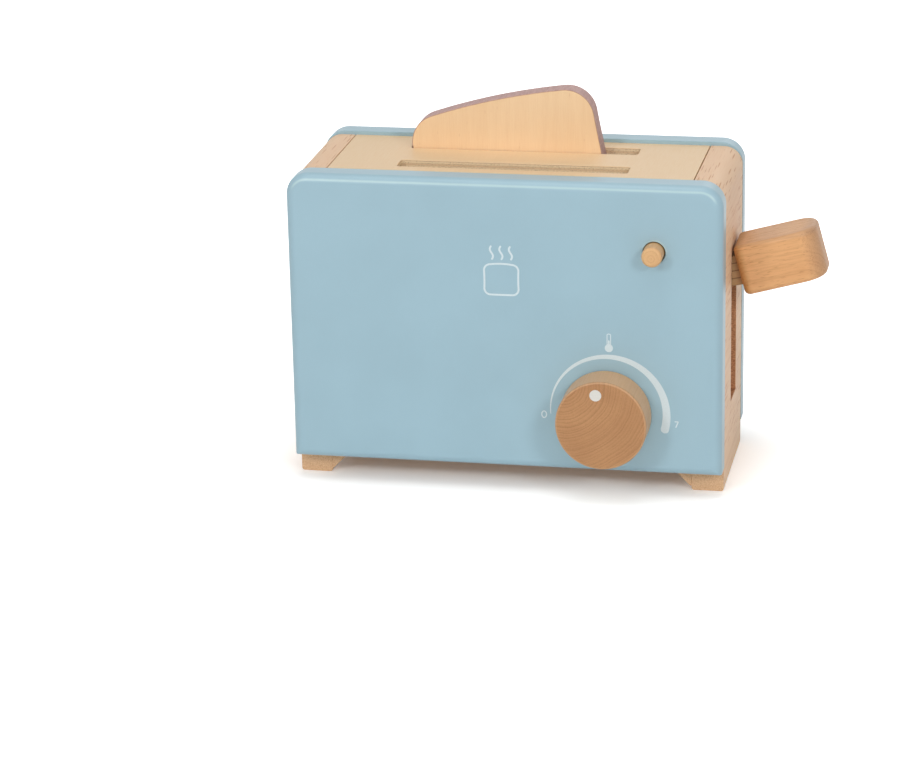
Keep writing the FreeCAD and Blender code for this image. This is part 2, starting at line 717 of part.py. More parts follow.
def move_to_origin(pieces):
    """The step that brings the middle of the whole toy's footprint to the origin."""
    bounds = FreeCAD.BoundBox()
    for shape in pieces.values():
        bounds.add(shape.optimalBoundingBox(False, False))
    middle_x = (bounds.XMin + bounds.XMax) / 2
    middle_y = (bounds.YMin + bounds.YMax) / 2
    return point(-middle_x, -middle_y, -bounds.ZMin)


def main():
    pieces = build()
    to_origin = move_to_origin(pieces)
    print("the casing's middle lies at", round(to_origin.x, 3), round(to_origin.y, 3))
    os.makedirs("parts", exist_ok=True)
    for name, shape in pieces.items():
        shape.translate(to_origin)
        shape.exportStep("parts/" + name + ".step")
        print(name, "solids", len(shape.Solids), "cm3", round(shape.Volume / 1000, 2), shape.isValid())


main()
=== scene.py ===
# %% [markdown]
# # A wooden toy toaster, made piece by piece
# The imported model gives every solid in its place, with its joints. This lesson
# dresses those solids: each one either keeps its own mesh and gets a finish, or
# gives way to a finer surface that is worked out from a short formula. Loading
# the model comes first, because every later step measures from it.

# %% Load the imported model
import json
import math

import bmesh
import bpy
import numpy as np
from mathutils import Matrix, Vector


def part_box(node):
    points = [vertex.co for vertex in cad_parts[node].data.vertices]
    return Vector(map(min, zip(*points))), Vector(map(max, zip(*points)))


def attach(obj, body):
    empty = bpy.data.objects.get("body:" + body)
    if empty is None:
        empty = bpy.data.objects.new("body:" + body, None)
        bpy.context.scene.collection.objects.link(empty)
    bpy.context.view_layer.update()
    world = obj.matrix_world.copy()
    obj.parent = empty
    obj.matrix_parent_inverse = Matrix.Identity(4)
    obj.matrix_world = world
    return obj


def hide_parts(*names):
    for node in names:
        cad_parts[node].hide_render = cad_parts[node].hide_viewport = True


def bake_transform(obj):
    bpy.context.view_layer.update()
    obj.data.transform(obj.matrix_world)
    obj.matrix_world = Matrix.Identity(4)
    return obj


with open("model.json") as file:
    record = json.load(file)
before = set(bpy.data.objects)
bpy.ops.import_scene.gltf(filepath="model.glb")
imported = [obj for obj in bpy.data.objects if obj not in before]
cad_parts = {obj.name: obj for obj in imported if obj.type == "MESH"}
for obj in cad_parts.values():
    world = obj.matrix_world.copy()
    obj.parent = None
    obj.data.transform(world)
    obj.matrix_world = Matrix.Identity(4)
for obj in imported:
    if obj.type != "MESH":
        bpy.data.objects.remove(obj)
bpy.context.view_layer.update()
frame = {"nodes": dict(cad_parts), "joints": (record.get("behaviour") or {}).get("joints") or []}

# %% [markdown]
# ## One set of measures
# A maker thinks in millimetres from the middle of the casing, and Blender works
# in metres from the row's origin. All shapes below are written in millimetres
# about the casing's middle: X to the right, Y to the back, Z up from the floor.
# The sizes are read from the solids, so that a new skin always fits what it
# covers. The lift plate, its handle and the slice stand tilted about the hinge,
# so they are measured after turning them back to level.

# %% Measures read from the solids
MM = 0.001
front_low, front_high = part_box("front_panel")
back_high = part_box("back_panel")[1]
MIDDLE = np.array([(front_low.x + front_high.x) / 2, (front_low.y + back_high.y) / 2, 0.0]) / MM
lift_hinge = next(joint for joint in frame["joints"] if joint["name"] == "lift_hinge")
HINGE = np.array(lift_hinge["pos_m"]) / MM - MIDDLE
TILT = math.radians(max(lift_hinge["range_deg"]))


def swing(points, angle, line=HINGE):
    """Points swung about a line along Y: x' = x cos - z sin, z' = x sin + z cos, so a positive
    angle raises the handle's end."""
    x = points[..., 0] - line[0]
    z = points[..., 2] - line[2]
    turned_x = x * math.cos(angle) - z * math.sin(angle) + line[0]
    turned_z = x * math.sin(angle) + z * math.cos(angle) + line[2]
    return np.stack([turned_x, points[..., 1], turned_z], axis=-1)


def solid_points(node):
    """All vertices of a solid, in mm about the casing's middle."""
    mesh = frame["nodes"][node].data
    flat = np.empty(len(mesh.vertices) * 3, np.float32)
    mesh.vertices.foreach_get("co", flat)
    return flat.reshape(-1, 3).astype(float) / MM - MIDDLE


def measure(node, level=False):
    """Lowest and highest corner of a solid; a tilted one is first swung back to level."""
    points = solid_points(node)
    if level:
        points = swing(points, -TILT)
    return points.min(axis=0), points.max(axis=0)


PANEL_LOW, PANEL_HIGH = measure("front_panel")
print("casing", np.round(PANEL_HIGH[0] * 2, 2), "mm wide, hinge at", np.round(HINGE, 2))

# %% [markdown]
# ## The camera
# It stands a metre and a half away, slightly to the right and well above the
# toy, and looks down on it through a long lens, so that upright edges stay
# nearly upright. The turn is built from three plain angles instead of a
# tracking constraint, which keeps the small roll of the picture.

# %% Camera
YAW, PITCH, ROLL = (math.radians(degrees) for degrees in (-11.75, 18.93, -1.23))
CAMERA_AT = (279.1, -1517.6, 568.2)     # mm from the casing's middle on the floor
SENSOR = 36.0                           # mm
FOCAL_SHARE = 3278.1 / 900              # focal length as a share of the picture's width

forward = Vector((math.sin(YAW) * math.cos(PITCH), math.cos(YAW) * math.cos(PITCH),
                  -math.sin(PITCH)))
level_right = Vector((math.cos(YAW), -math.sin(YAW), 0.0))
level_up = level_right.cross(forward)
right = level_right * math.cos(ROLL) + level_up * math.sin(ROLL)
up = level_up * math.cos(ROLL) - level_right * math.sin(ROLL)
camera_data = bpy.data.cameras.new("camera")
camera_data.sensor_width = SENSOR
camera_data.lens = FOCAL_SHARE * SENSOR
camera_data.clip_end = 20.0
camera = bpy.data.objects.new("camera", camera_data)
bpy.context.scene.collection.objects.link(camera)
turn = Matrix((right, up, -forward)).transposed().to_4x4()
place = Vector(CAMERA_AT) + Vector(MIDDLE.tolist())
camera.matrix_world = Matrix.Translation(place * MM) @ turn
bpy.context.scene.camera = camera
print("camera at", [round(value, 4) for value in place * MM], "lens", round(camera_data.lens, 2))

# %% [markdown]
# ## Mixing a finish
# Each finish is a node tree. The small class below only saves typing: every
# call adds one node and returns its output, so a recipe reads like a list of
# steps. Patterns are solid, like real wood: they are functions of the place in
# the block, and a cut surface shows whatever runs through it. A Mapping node
# carries the piece's own place to the pattern's axes, in millimetres.

# %% Recipe helper
class Nodes:
    """Short calls that each add a node to one tree and return its output."""

    def __init__(self, tree):
        self.tree = tree

    def add(self, kind, inputs=None, **settings):
        node = self.tree.nodes.new("ShaderNode" + kind)
        for key, value in settings.items():
            setattr(node, key, value)
        for socket, value in (inputs or {}).items():
            self.set(node.inputs[socket], value)
        return node

    def set(self, socket, value):
        if isinstance(value, bpy.types.NodeSocket):
            self.tree.links.new(value, socket)
        elif isinstance(value, tuple) and len(value) == 3 and len(socket.default_value) == 4:
            socket.default_value = (*value, 1.0)
        else:
            socket.default_value = value

    def stretch(self, where, scale, shift=(0, 0, 0)):
        mapping = self.add("Mapping", {"Vector": where, "Scale": scale, "Location": shift})
        return mapping.outputs[0]

    def noise(self, where, scale=1.0, detail=2.0, roughness=0.5, warp=0.0):
        return self.add("TexNoise", {"Vector": where, "Scale": scale, "Detail": detail,
                                     "Roughness": roughness, "Distortion": warp}).outputs[0]

    def line_noise(self, value, scale=1.0, detail=1.0):
        return self.add("TexNoise", {"W": value, "Scale": scale, "Detail": detail},
                        noise_dimensions="1D").outputs[0]

    def chance(self, number):
        """A random value that is the same for the same whole number."""
        return self.add("TexWhiteNoise", {"W": number}, noise_dimensions="1D").outputs[0]

    def flecks(self, where, near, far, rare, common, strength=1.0):
        """Small spots, one to a cell but not in every cell, that fade from near to far."""
        cells = self.add("TexVoronoi", {"Vector": where, "Scale": 1.0}, feature="F1").outputs
        chosen = self.fit(self.parts(cells["Color"])[0], rare, common)
        return self.times(self.fit(cells["Distance"], near, far, strength, 0.0), chosen)

    def calc(self, operation, *values, clamp=False):
        node = self.add("Math", dict(enumerate(values)), operation=operation)
        node.use_clamp = clamp
        return node.outputs[0]

    def times(self, first, second):
        return self.calc("MULTIPLY", first, second)

    def plus(self, first, second, clamp=False):
        return self.calc("ADD", first, second, clamp=clamp)

    def minus(self, first, second):
        return self.calc("SUBTRACT", first, second)

    def scaled(self, value, gain, start, clamp=False):
        """Value times gain, plus a start."""
        return self.calc("MULTIPLY_ADD", value, gain, start, clamp=clamp)

    def length(self, first, second):
        """Length of the long side of a right triangle: root of the sum of both squares."""
        both = self.plus(self.times(first, first), self.times(second, second))
        return self.calc("SQRT", both)

    def fit(self, value, low, high, to_low=0.0, to_high=1.0):
        return self.add("MapRange", {"Value": value, "From Min": low, "From Max": high,
                                     "To Min": to_low, "To Max": to_high},
                        interpolation_type="SMOOTHSTEP").outputs[0]

    def mix(self, share, first, second, way="MIX"):
        node = self.add("Mix", data_type="RGBA", blend_type=way)
        for index, value in ((0, share), (6, first), (7, second)):
            self.set(node.inputs[index], value)
        return node.outputs[2]

    def parts(self, where):
        return self.add("SeparateXYZ", {"Vector": where}).outputs

    def seen(self, gloss=1.0):
        """One for rays that come straight from the eye, gloss for those off a shiny surface."""
        ray = self.add("LightPath").outputs
        straight = self.calc("MAXIMUM", ray["Is Camera Ray"], ray["Is Transmission Ray"])
        return self.calc("MAXIMUM", straight, self.times(ray["Is Glossy Ray"], gloss))


class Recipe(Nodes):
    """One material: its pattern's place in the block, and its surface."""

    def __init__(self, name):
        self.material = bpy.data.materials.new(name)
        self.material.use_nodes = True
        super().__init__(self.material.node_tree)
        self.shader = self.tree.nodes["Principled BSDF"]

    def place(self, along=(0, 0, 1), across=(1, 0, 0), start=(0, 0, 0)):
        """Place in the block in mm, on axes where Z runs along the grain and X is across."""
        z_axis = Vector(along).normalized()
        x_axis = (Vector(across) - z_axis * z_axis.dot(Vector(across))).normalized()
        rows = Matrix((x_axis, z_axis.cross(x_axis), z_axis))
        shift = -(rows @ (Vector(MIDDLE.tolist()) + Vector(start)))
        where = self.add("TexCoord").outputs["Object"]
        mapping = self.add("Mapping", {"Vector": where, "Scale": (1 / MM, 1 / MM, 1 / MM)})
        mapping.inputs["Rotation"].default_value = rows.to_euler()
        mapping.inputs["Location"].default_value = shift
        return mapping.outputs[0]

    def surface(self, tone, roughness, gloss=0.5):
        self.set(self.shader.inputs["Base Color"], tone)
        self.set(self.shader.inputs["Roughness"], roughness)
        self.shader.inputs["Specular IOR Level"].default_value = gloss

    def relief(self, height, depth):
        """Small hollows and ridges; depth in mm is what a height of one stands for."""
        bump = self.add("Bump", {"Height": height, "Distance": depth * MM, "Strength": 1.0})
        self.set(self.shader.inputs["Normal"], bump.outputs[0])


def colour(red, green, blue):
    """Linear colour for an 8-bit screen colour, so a finish can be named as it is seen."""
    screen = np.array([red, green, blue]) / 255
    linear = np.where(screen <= 0.04045, screen / 12.92, ((screen + 0.055) / 1.055) ** 2.4)
    return tuple(float(value) for value in linear)


def tint(base, gain):
    """The colour with its channels multiplied, all by one number or each by its own."""
    return tuple(np.multiply(base, gain).tolist())


print("recipe helper ready")

# %% [markdown]
# ## Solid wood
# A board is a piece of a stack of thin cones round the tree's heart, so the
# pattern starts with the distance from a heart line that lies outside the piece.
# Early wood fades into late wood and then starts again, which gives soft bands.
# On top come long fibres, the fine dark pores or flecks of the species, and a
# slow drift of tone. Every wood of the toy is this one recipe with other numbers.

# %% Solid wood recipe
def wood(name, early, late, along, across, heart, ring=2.4, bands=0.6, fibres=0.25,
         fibre_size=0.9, pore=(1.6, 0.5, 0.22), pore_size=0.36, pore_share=0.5,
         pore_tone=(0.55, 0.4, 0.3), pore_depth=0.6, pore_sway=1.2, drift=0.35, waver=5.0,
         sheen=0.46, gloss=0.32, extra=None):
    """Wood with its grain along one direction and its heart line through a point, in mm."""
    mixer = Recipe(name)
    where = mixer.place(along, across, heart)
    x, y, _ = mixer.parts(where)

    # year rings: distance from the heart line, a little wavy, and unequal from year to year
    slow = mixer.noise(mixer.stretch(where, (0.05, 0.05, 0.012)), 1.0, 2.0)
    distance = mixer.scaled(slow, waver, mixer.length(x, y))
    count = mixer.calc("DIVIDE", distance, ring)
    count = mixer.scaled(mixer.line_noise(count, 0.35), 2.2, count)
    within = mixer.calc("FRACT", count)
    rise = mixer.fit(within, 0.15, 0.86)
    fall = mixer.fit(within, 0.88, 1.0, 1.0, 0.0)
    year = mixer.chance(mixer.calc("FLOOR", count))
    band = mixer.times(mixer.times(rise, fall), mixer.fit(year, 0, 1, 0.45, 1.0))

    # long fibres, and a slow drift to a warmer tone
    thread = mixer.stretch(where, (fibre_size, fibre_size, fibre_size * 0.045))
    fibre = mixer.fit(mixer.noise(thread, 2.0, 4.0, 0.62), 0.3, 0.72)
    share = mixer.plus(mixer.times(band, bands),
                       mixer.times(mixer.minus(fibre, 0.5), fibres), clamp=True)
    tone = mixer.mix(share, early, late)
    patch = mixer.noise(mixer.stretch(where, (0.035, 0.05, 0.014), (7.1, 3.3, 1.9)), 1.0, 2.0)
    tone = mixer.mix(mixer.fit(patch, 0.35, 0.7, 0.0, drift), tone,
                     tint(late, (1.02, 0.96, 0.9)))

    # pores: one long thin cell each, pushed a little out of line
    sway = mixer.add("TexNoise", {"Vector": mixer.stretch(where, (0.13, 0.13, 0.06)),
                                  "Detail": 2.0}).outputs[1]
    bent = mixer.add("VectorMath", {0: sway, 1: (pore_sway, pore_sway, 0.0), 2: where},
                     operation="MULTIPLY_ADD").outputs[0]
    pit = mixer.flecks(mixer.stretch(bent, pore), pore_size * 0.4, pore_size,
                       1 - pore_share, 1 - pore_share + 0.25)
    tone = mixer.mix(mixer.times(pit, pore_depth), tone, tint(late, pore_tone))

    if extra:
        tone = extra(mixer, tone)
    mixer.surface(tone, mixer.scaled(fibre, 0.10, mixer.scaled(pit, 0.12, sheen)), gloss)
    mixer.relief(mixer.minus(mixer.times(fibre, 0.45), pit), 0.035)
    return mixer.material


print("solid wood recipe ready")

# %% [markdown]
# ## Plywood
# Plywood is a stack of veneers with the grain turned a quarter round from one
# to the next. The layer number is the height in the board divided by the
# veneer's thickness. Layers that show end grain at a cut look darker, and a
# dark hair line of glue parts them. The broad faces show one peeled veneer,
# with wide, faint, flowing figure.

# %% Plywood recipe
def plywood(name, pale, dark, face, along, ply, start, edge_dark=0.55, line_dark=0.6,
            line=0.10, figure=0.16, fibres=0.18, sheen=0.5, gloss=0.3, extra=None):
    """Veneers stacked in the face direction from a point; ply is their thickness in mm."""
    mixer = Recipe(name)
    where = mixer.place(along, face, start)
    height = mixer.parts(where)[0]

    # layers: which one it is, how far up in it, and whether it is a crosswise one
    waver = mixer.noise(mixer.stretch(where, (0.02, 0.06, 0.06)), 1.0, 1.0)
    layer = mixer.calc("DIVIDE", mixer.scaled(waver, 0.12, height), ply)
    number = mixer.calc("FLOOR", layer)
    within = mixer.minus(layer, number)
    crossed = mixer.calc("PINGPONG", number, 1.0)

    # fibres of both directions, and the faint flowing figure of a peeled veneer
    lengthwise = mixer.noise(mixer.stretch(where, (1.4, 1.4, 0.05)), 1.6, 4.0, 0.6)
    crosswise = mixer.noise(mixer.stretch(where, (1.4, 0.05, 1.4), (0, 9, 0)), 1.6, 4.0, 0.6)
    fibre = mixer.fit(mixer.plus(mixer.times(lengthwise, mixer.minus(1.0, crossed)),
                                 mixer.times(crosswise, crossed)), 0.3, 0.7)
    flow = mixer.noise(mixer.stretch(where, (0.0, 0.045, 0.006)), 1.0, 2.0, 0.5, 0.4)
    wave = mixer.calc("FRACT", mixer.times(flow, 9.0))
    crest = mixer.times(mixer.fit(wave, 0.1, 0.8), mixer.fit(wave, 0.85, 1.0, 1.0, 0.0))
    share = mixer.scaled(fibre, fibres, mixer.times(crest, figure))
    layer_tone = mixer.scaled(crossed, edge_dark, mixer.times(mixer.chance(number), 0.12))
    tone = mixer.mix(mixer.plus(share, layer_tone, clamp=True), pale, dark)

    # hair lines of glue between the layers
    gap = mixer.calc("MINIMUM", within, mixer.minus(1.0, within))
    glue = mixer.fit(gap, line * 0.35 / ply, line / ply, line_dark, 0.0)
    tone = mixer.mix(glue, tone, tint(dark, 0.42))
    if extra:
        tone = extra(mixer, tone)
    mixer.surface(tone, mixer.scaled(fibre, 0.1, sheen), gloss)
    mixer.relief(mixer.scaled(glue, -0.8, mixer.times(fibre, 0.4)), 0.03)
    return mixer.material


print("plywood recipe ready")

# %% [markdown]
# ## The toy's woods
# The side walls are rubberwood: pinkish tan, with short dark pore streaks. Their
# grain runs from front to back, so the ends of the boards show under the panels
# and are warmer and darker. Handle, button and knob are beech, which is warmer
# and freckled. The handle is darker at both ends and on top: the outer end is
# cut across the grain, the inner end beside the wall is end grain with painted
# shade, and the darker top is painted shade. The knob is cut with its end grain
# to the front, so it shows rings round a heart near its upper left rim; its paler
# rim is partly wear and partly painted highlight, and its paler side is painted
# sheen. The wall's lever slot was milled and is left bare, rough and brown, and
# its darker brown is partly painted shade, so that finish is added by place,
# inside the slot.

# %% Solid woods
UP, ACROSS, DEEP = (0, 0, 1), (1, 0, 0), (0, 1, 0)
ARM = (math.cos(TILT), 0, math.sin(TILT))
ARM_UP = (-math.sin(TILT), 0, math.cos(TILT))
ARM_Y = 2.0                         # the lift arm lies 2 mm behind the casing's middle
LEVER_SLOT_Z, LEVER_SLOT_HALF = (36.5, 111.6), 10.4
BOARD_END = 35.15                   # half the walls' depth, less a hair
knob_low, knob_high = measure("knob")
KNOB_X, KNOB_Z = (knob_low[0] + knob_high[0]) / 2, (knob_low[2] + knob_high[2]) / 2
KNOB_R = (knob_high[0] - knob_low[0]) / 2
KNOB_FRONT = knob_low[1] + 0.08     # leaves room for the painted dot
arm_low, arm_high = measure("lever_handle", level=True)


def end_grain(mixer, tone):
    """The boards' front and back ends: warmer and darker than the faces, with dots."""
    where = mixer.place()
    far_back = mixer.calc("ABSOLUTE", mixer.parts(where)[1])
    ends = mixer.calc("GREATER_THAN", far_back, BOARD_END)
    dots = mixer.fit(mixer.noise(mixer.stretch(where, (1.6, 1.6, 1.6)), 1.0, 3.0, 0.65), 0.35, 0.7)
    end = mixer.mix(dots, colour(239, 197, 153), colour(212, 162, 119))
    return mixer.mix(mixer.times(ends, 0.85), tone, end)


def raw_slot_and_painted_shade(mixer, tone):
    """Inside the lever slot the cut is bare, rough and streaked by the cutter; its brown is
    partly painted shade.
    """
    where = mixer.place(UP, ACROSS, (0, ARM_Y, 0))
    _, y, z = mixer.parts(where)
    inside = mixer.calc("LESS_THAN", mixer.calc("ABSOLUTE", y), LEVER_SLOT_HALF + 0.06)
    above = mixer.calc("GREATER_THAN", z, LEVER_SLOT_Z[0] - 0.06)
    below = mixer.calc("LESS_THAN", z, LEVER_SLOT_Z[1] + 0.06)
    mask = mixer.times(mixer.times(inside, above), below)
    streak = mixer.noise(mixer.stretch(where, (0.5, 0.9, 1.6)), 1.6, 4.0, 0.75)
    # brown inside the slot: the bare cut, partly painted shade
    raw = mixer.mix(mixer.fit(streak, 0.34, 0.68), colour(168, 106, 68), colour(240, 178, 130))
    return end_grain(mixer, mixer.mix(mask, tone, raw))


def handle_ends_and_painted_shade(mixer, tone):
    """The handle is darker on top and at both ends, each of which fades in over a few mm:
    the outer end is end grain, the inner end beside the wall is end grain with painted
    shade, and the top is painted shade.
    """
    end = swing(np.array([arm_high[0], ARM_Y, (arm_low[2] + arm_high[2]) / 2]), TILT)
    up_from_middle, _, past_end = mixer.parts(mixer.place(ARM, ARM_UP, tuple(end)))
    tall, wide = (arm_high[2] - arm_low[2]) / 2, arm_high[0] - arm_low[0]
    top = mixer.fit(up_from_middle, tall - 3.4, tall - 1.4)
    outer_end = mixer.fit(past_end, -9.5, -1.5)
    inner_end_and_shade = mixer.fit(past_end, 2.0 - wide, 6.0 - wide, 1.0, 0.0)
    # painted shade on top and beside the wall; end grain at both ends
    for share, gain in ((top, (0.86, 0.9, 1.0)), (outer_end, (0.77, 0.79, 0.9)),
                        (inner_end_and_shade, (0.72, 0.67, 0.56))):
        tone = mixer.mix(share, tone, gain, "MULTIPLY")
    return tone


def knob_wear_and_painted_sheen(mixer, tone):
    """The rim is paler than the face, partly wear and partly a painted highlight, and the
    turned side is paler still, a painted sheen.
    """
    x, y, z = mixer.parts(mixer.place(DEEP, ACROSS, (KNOB_X, 0, KNOB_Z)))
    reach, behind = mixer.length(x, y), mixer.minus(z, KNOB_FRONT)
    rim = mixer.times(mixer.fit(reach, KNOB_R - 1.1, KNOB_R - 0.5),
                      mixer.fit(behind, 0.5, 1.1, 1.0, 0.0))
    # paler rim: partly wear, partly painted highlight
    tone = mixer.mix(mixer.times(rim, 0.25), tone, colour(240, 200, 158))
    # paler turned side: painted sheen
    side = mixer.times(mixer.fit(reach, KNOB_R - 0.3, KNOB_R - 0.1), mixer.fit(behind, 0.8, 1.4))
    return mixer.mix(mixer.times(side, 0.65), tone, colour(220, 181, 138))


def wall_wood(name, heart_x, extra):
    return wood(name, colour(244, 210, 176), colour(229, 188, 152), DEEP, UP, (heart_x, 0, -60),
                ring=5.5, bands=0.5, pore=(0.95, 0.95, 0.055), pore_size=0.4, pore_share=0.6,
                pore_tone=(0.8, 0.65, 0.58), pore_depth=0.8, pore_sway=0.4, drift=0.25,
                extra=extra)


def hidden_beech(name, along, heart):
    return wood(name, colour(218, 172, 126), colour(196, 142, 98), along, ACROSS, heart,
                ring=3.0, pore=(1.6, 1.6, 0.4), pore_share=0.3)


rubberwood_left = wall_wood("rubberwood_left", -150, end_grain)
rubberwood_right = wall_wood("rubberwood_right", 160, raw_slot_and_painted_shade)
rubberwood_block = wood("rubberwood_block", colour(230, 194, 160), colour(212, 170, 136), DEEP,
                        UP, (0, 0, -40), ring=4.0, bands=0.5, pore=(1.6, 1.6, 0.2),
                        pore_share=0.25, pore_tone=(0.62, 0.5, 0.42), pore_depth=0.5,
                        extra=end_grain)
beech_handle = wood("beech_handle", colour(240, 184, 127), colour(204, 146, 94), ARM, ARM_UP,
                    (60, -34, 66), ring=2.2, bands=0.4, fibres=0.5, fibre_size=0.8,
                    pore=(1.9, 1.9, 0.15), pore_size=0.4, pore_share=0.55,
                    pore_tone=(0.74, 0.56, 0.42), pore_depth=0.5, pore_sway=0.8, drift=0.4,
                    sheen=0.4, gloss=0.5, extra=handle_ends_and_painted_shade)
beech_knob = wood("beech_knob", colour(195, 143, 95), colour(155, 106, 64), DEEP, ACROSS,
                  (31.5, 0, 61.5), ring=1.5, bands=0.5, fibres=0.35, pore=(2.6, 2.6, 0.5),
                  pore_share=0.3, pore_tone=(0.62, 0.48, 0.38), pore_depth=0.3, drift=0.3,
                  waver=3.5, sheen=0.36, gloss=0.5, extra=knob_wear_and_painted_sheen)
beech_button = wood("beech_button", colour(229, 183, 130), colour(204, 152, 102), DEEP, ACROSS,
                    (72.6, 0, 122.8), ring=1.1, bands=0.35, pore=(2.6, 2.6, 0.5),
                    pore_share=0.3, pore_depth=0.4, waver=2.0, sheen=0.4, gloss=0.45)
beech_inner = hidden_beech("beech_inner", DEEP, (-20, 0, 20))
beech_upright = hidden_beech("beech_upright", UP, (40, -80, 0))
print("woods", [material.name for material in bpy.data.materials
                if material.name.startswith(("rubberwood", "beech"))])

# %% Plywoods
TOP_FACE = measure("top_board")[1][2]


def slot_specks(mixer, tone):
    """The cut through the plies is open: fine dark specks below the top face."""
    where = mixer.place()
    below = mixer.fit(mixer.parts(where)[2], TOP_FACE - 0.5, TOP_FACE - 0.35, 1.0, 0.0)
    speck = mixer.fit(mixer.noise(mixer.stretch(where, (1.2, 1.2, 1.8)), 1.0, 3.0, 0.7), 0.5, 0.62)
    return mixer.mix(mixer.times(mixer.times(below, speck), 0.4), tone, colour(160, 124, 80))


top_plies = plywood("top_plies", colour(255, 231, 194), colour(226, 188, 142), UP, ACROSS, 1.0,
                    (0, 0, TOP_FACE + 0.4), edge_dark=0.5, line_dark=0.35, figure=0.012,
                    fibres=0.07, sheen=0.4, gloss=0.4, extra=slot_specks)
floor_plies = plywood("floor_plies", colour(228, 180, 130), colour(194, 140, 92), UP, ACROSS,
                      1.2, (0, 0, measure("bottom_board")[0][2]))
# darker plies than the other plywoods: partly painted shade from the handle over the tongue
plate_plies_and_painted_shade = plywood("plate_plies_and_painted_shade", colour(190, 156, 114), colour(150, 108, 72), ARM_UP, ARM,
                      3.75, tuple(swing(np.array([0.0, 0.0, 53.64]), TILT)), edge_dark=0.1,
                      line=0.42, line_dark=0.7)
catch_plies = plywood("catch_plies", colour(226, 196, 158), colour(186, 140, 98), ACROSS, UP,
                      1.0, (70.5, 0, 0))
retainer_plies = plywood("retainer_plies", colour(226, 196, 158), colour(186, 140, 98), DEEP,
                         UP, 1.5, (0, -35, 0))
print("plywoods", [item.name for item in bpy.data.materials if "plies" in item.name])

# %% [markdown]
# ## Paint, print, steel and felt
# The panels are sprayed with a satin pale blue. Sprayed paint is never quite
# flat: it has a very fine pebble and a slow drift of tone. A pale line inside the
# round upper edge and round the button's hole is a painted highlight. The print
# is a thin matt ink. Steel and felt are only inside, but they get their own grain too.

# %% Paint and the rest
PANEL_ROUND, PANEL_BACK_ROUND = 4.5, 0.3
PANEL_CORNER, LOW_CORNER = 11.0, 0.8
button_low, button_high = measure("release_button")
BUTTON_X, BUTTON_Z = (button_low[0] + button_high[0]) / 2, (button_low[2] + button_high[2]) / 2


def painted_highlight_lines(mixer, tone, pale):
    """Painted highlight: a pale line inside the round upper edge of each panel, where the
    light catches the round, and round the upper right of the button's hole."""
    x, y, z = mixer.parts(mixer.place())
    across = mixer.minus(mixer.calc("ABSOLUTE", x), PANEL_HIGH[0] - PANEL_CORNER)
    upward = mixer.minus(z, PANEL_HIGH[2] - PANEL_CORNER)
    reach = mixer.length(mixer.calc("MAXIMUM", across, 0.0), mixer.calc("MAXIMUM", upward, 0.0))
    line_at = PANEL_CORNER - PANEL_ROUND + 1.9
    away = mixer.calc("ABSOLUTE", mixer.minus(reach, line_at))
    edge = mixer.times(mixer.fit(away, 0.1, 0.85, 1.0, 0.0), mixer.fit(upward, 2.0, 6.0))
    outer = mixer.fit(mixer.calc("ABSOLUTE", y), PANEL_HIGH[1] + 8.5, PANEL_HIGH[1] + 10.5)

    x, y, z = mixer.parts(mixer.place(start=(BUTTON_X, 0, BUTTON_Z)))
    away = mixer.calc("ABSOLUTE", mixer.minus(mixer.length(x, z), 5.9))
    toward = mixer.plus(mixer.times(x, 0.08), mixer.times(z, 0.14), clamp=True)
    ring = mixer.times(mixer.fit(away, 0.15, 0.6, 1.0, 0.0), toward)
    ring = mixer.times(ring, mixer.calc("LESS_THAN", y, PANEL_LOW[1] + 0.6))
    line = mixer.calc("MAXIMUM", mixer.times(edge, outer), ring)
    return mixer.mix(mixer.times(line, 0.45), tone, pale)


def satin_paint(name, base):
    mixer = Recipe(name)
    where = mixer.place()
    cloud = mixer.noise(mixer.stretch(where, (0.02, 0.02, 0.02)), 1.0, 3.0)
    speck = mixer.noise(where, 1.6, 3.0, 0.6)
    tone = mixer.mix(mixer.fit(cloud, 0.3, 0.7), tint(base, 0.975), tint(base, 1.02))
    tone = mixer.mix(mixer.fit(speck, 0.35, 0.65, 0.0, 0.05), tone, tint(base, 1.16))
    # painted highlight line inside the panels' upper edge and round the button's hole
    tone = painted_highlight_lines(mixer, tone, tint(base, (1.75, 1.5, 1.25)))
    mixer.surface(tone, mixer.fit(speck, 0.3, 0.7, 0.28, 0.33), 0.45)
    mixer.relief(mixer.noise(where, 0.9, 2.0, 0.5), 0.003)
    return mixer.material


def printed_ink(name, base):
    mixer = Recipe(name)
    cover = mixer.noise(mixer.place(), 3.2, 3.0, 0.6)
    tone = mixer.mix(mixer.fit(cover, 0.3, 0.7), tint(base, 0.93), base)
    mixer.surface(tone, mixer.fit(cover, 0.3, 0.7, 0.5, 0.6), 0.35)
    mixer.relief(cover, 0.01)
    return mixer.material


def zinc_steel(name, shade):
    mixer = Recipe(name)
    scratch = mixer.noise(mixer.stretch(mixer.place(), (0.8, 3.0, 3.0)), 1.0, 4.0, 0.65)
    tone = mixer.mix(scratch, tint((0.92, 0.93, 0.96), shade), (shade, shade, shade))
    mixer.surface(tone, mixer.fit(scratch, 0.3, 0.7, 0.26, 0.42))
    mixer.shader.inputs["Metallic"].default_value = 1.0
    mixer.relief(scratch, 0.008)
    return mixer.material


def wool_felt(name, base):
    mixer = Recipe(name)
    where = mixer.place()
    fuzz = mixer.noise(where, 2.2, 5.0, 0.75, 1.2)
    clump = mixer.noise(where, 0.45, 2.0)
    tone = mixer.mix(mixer.fit(fuzz, 0.3, 0.7), tint(base, 0.55), tint(base, 1.3))
    tone = mixer.mix(mixer.fit(clump, 0.35, 0.65, 0.0, 0.3), tone, base)
    mixer.surface(tone, 0.95)
    mixer.shader.inputs["Sheen Weight"].default_value = 0.3
    mixer.relief(fuzz, 0.25)
    return mixer.material


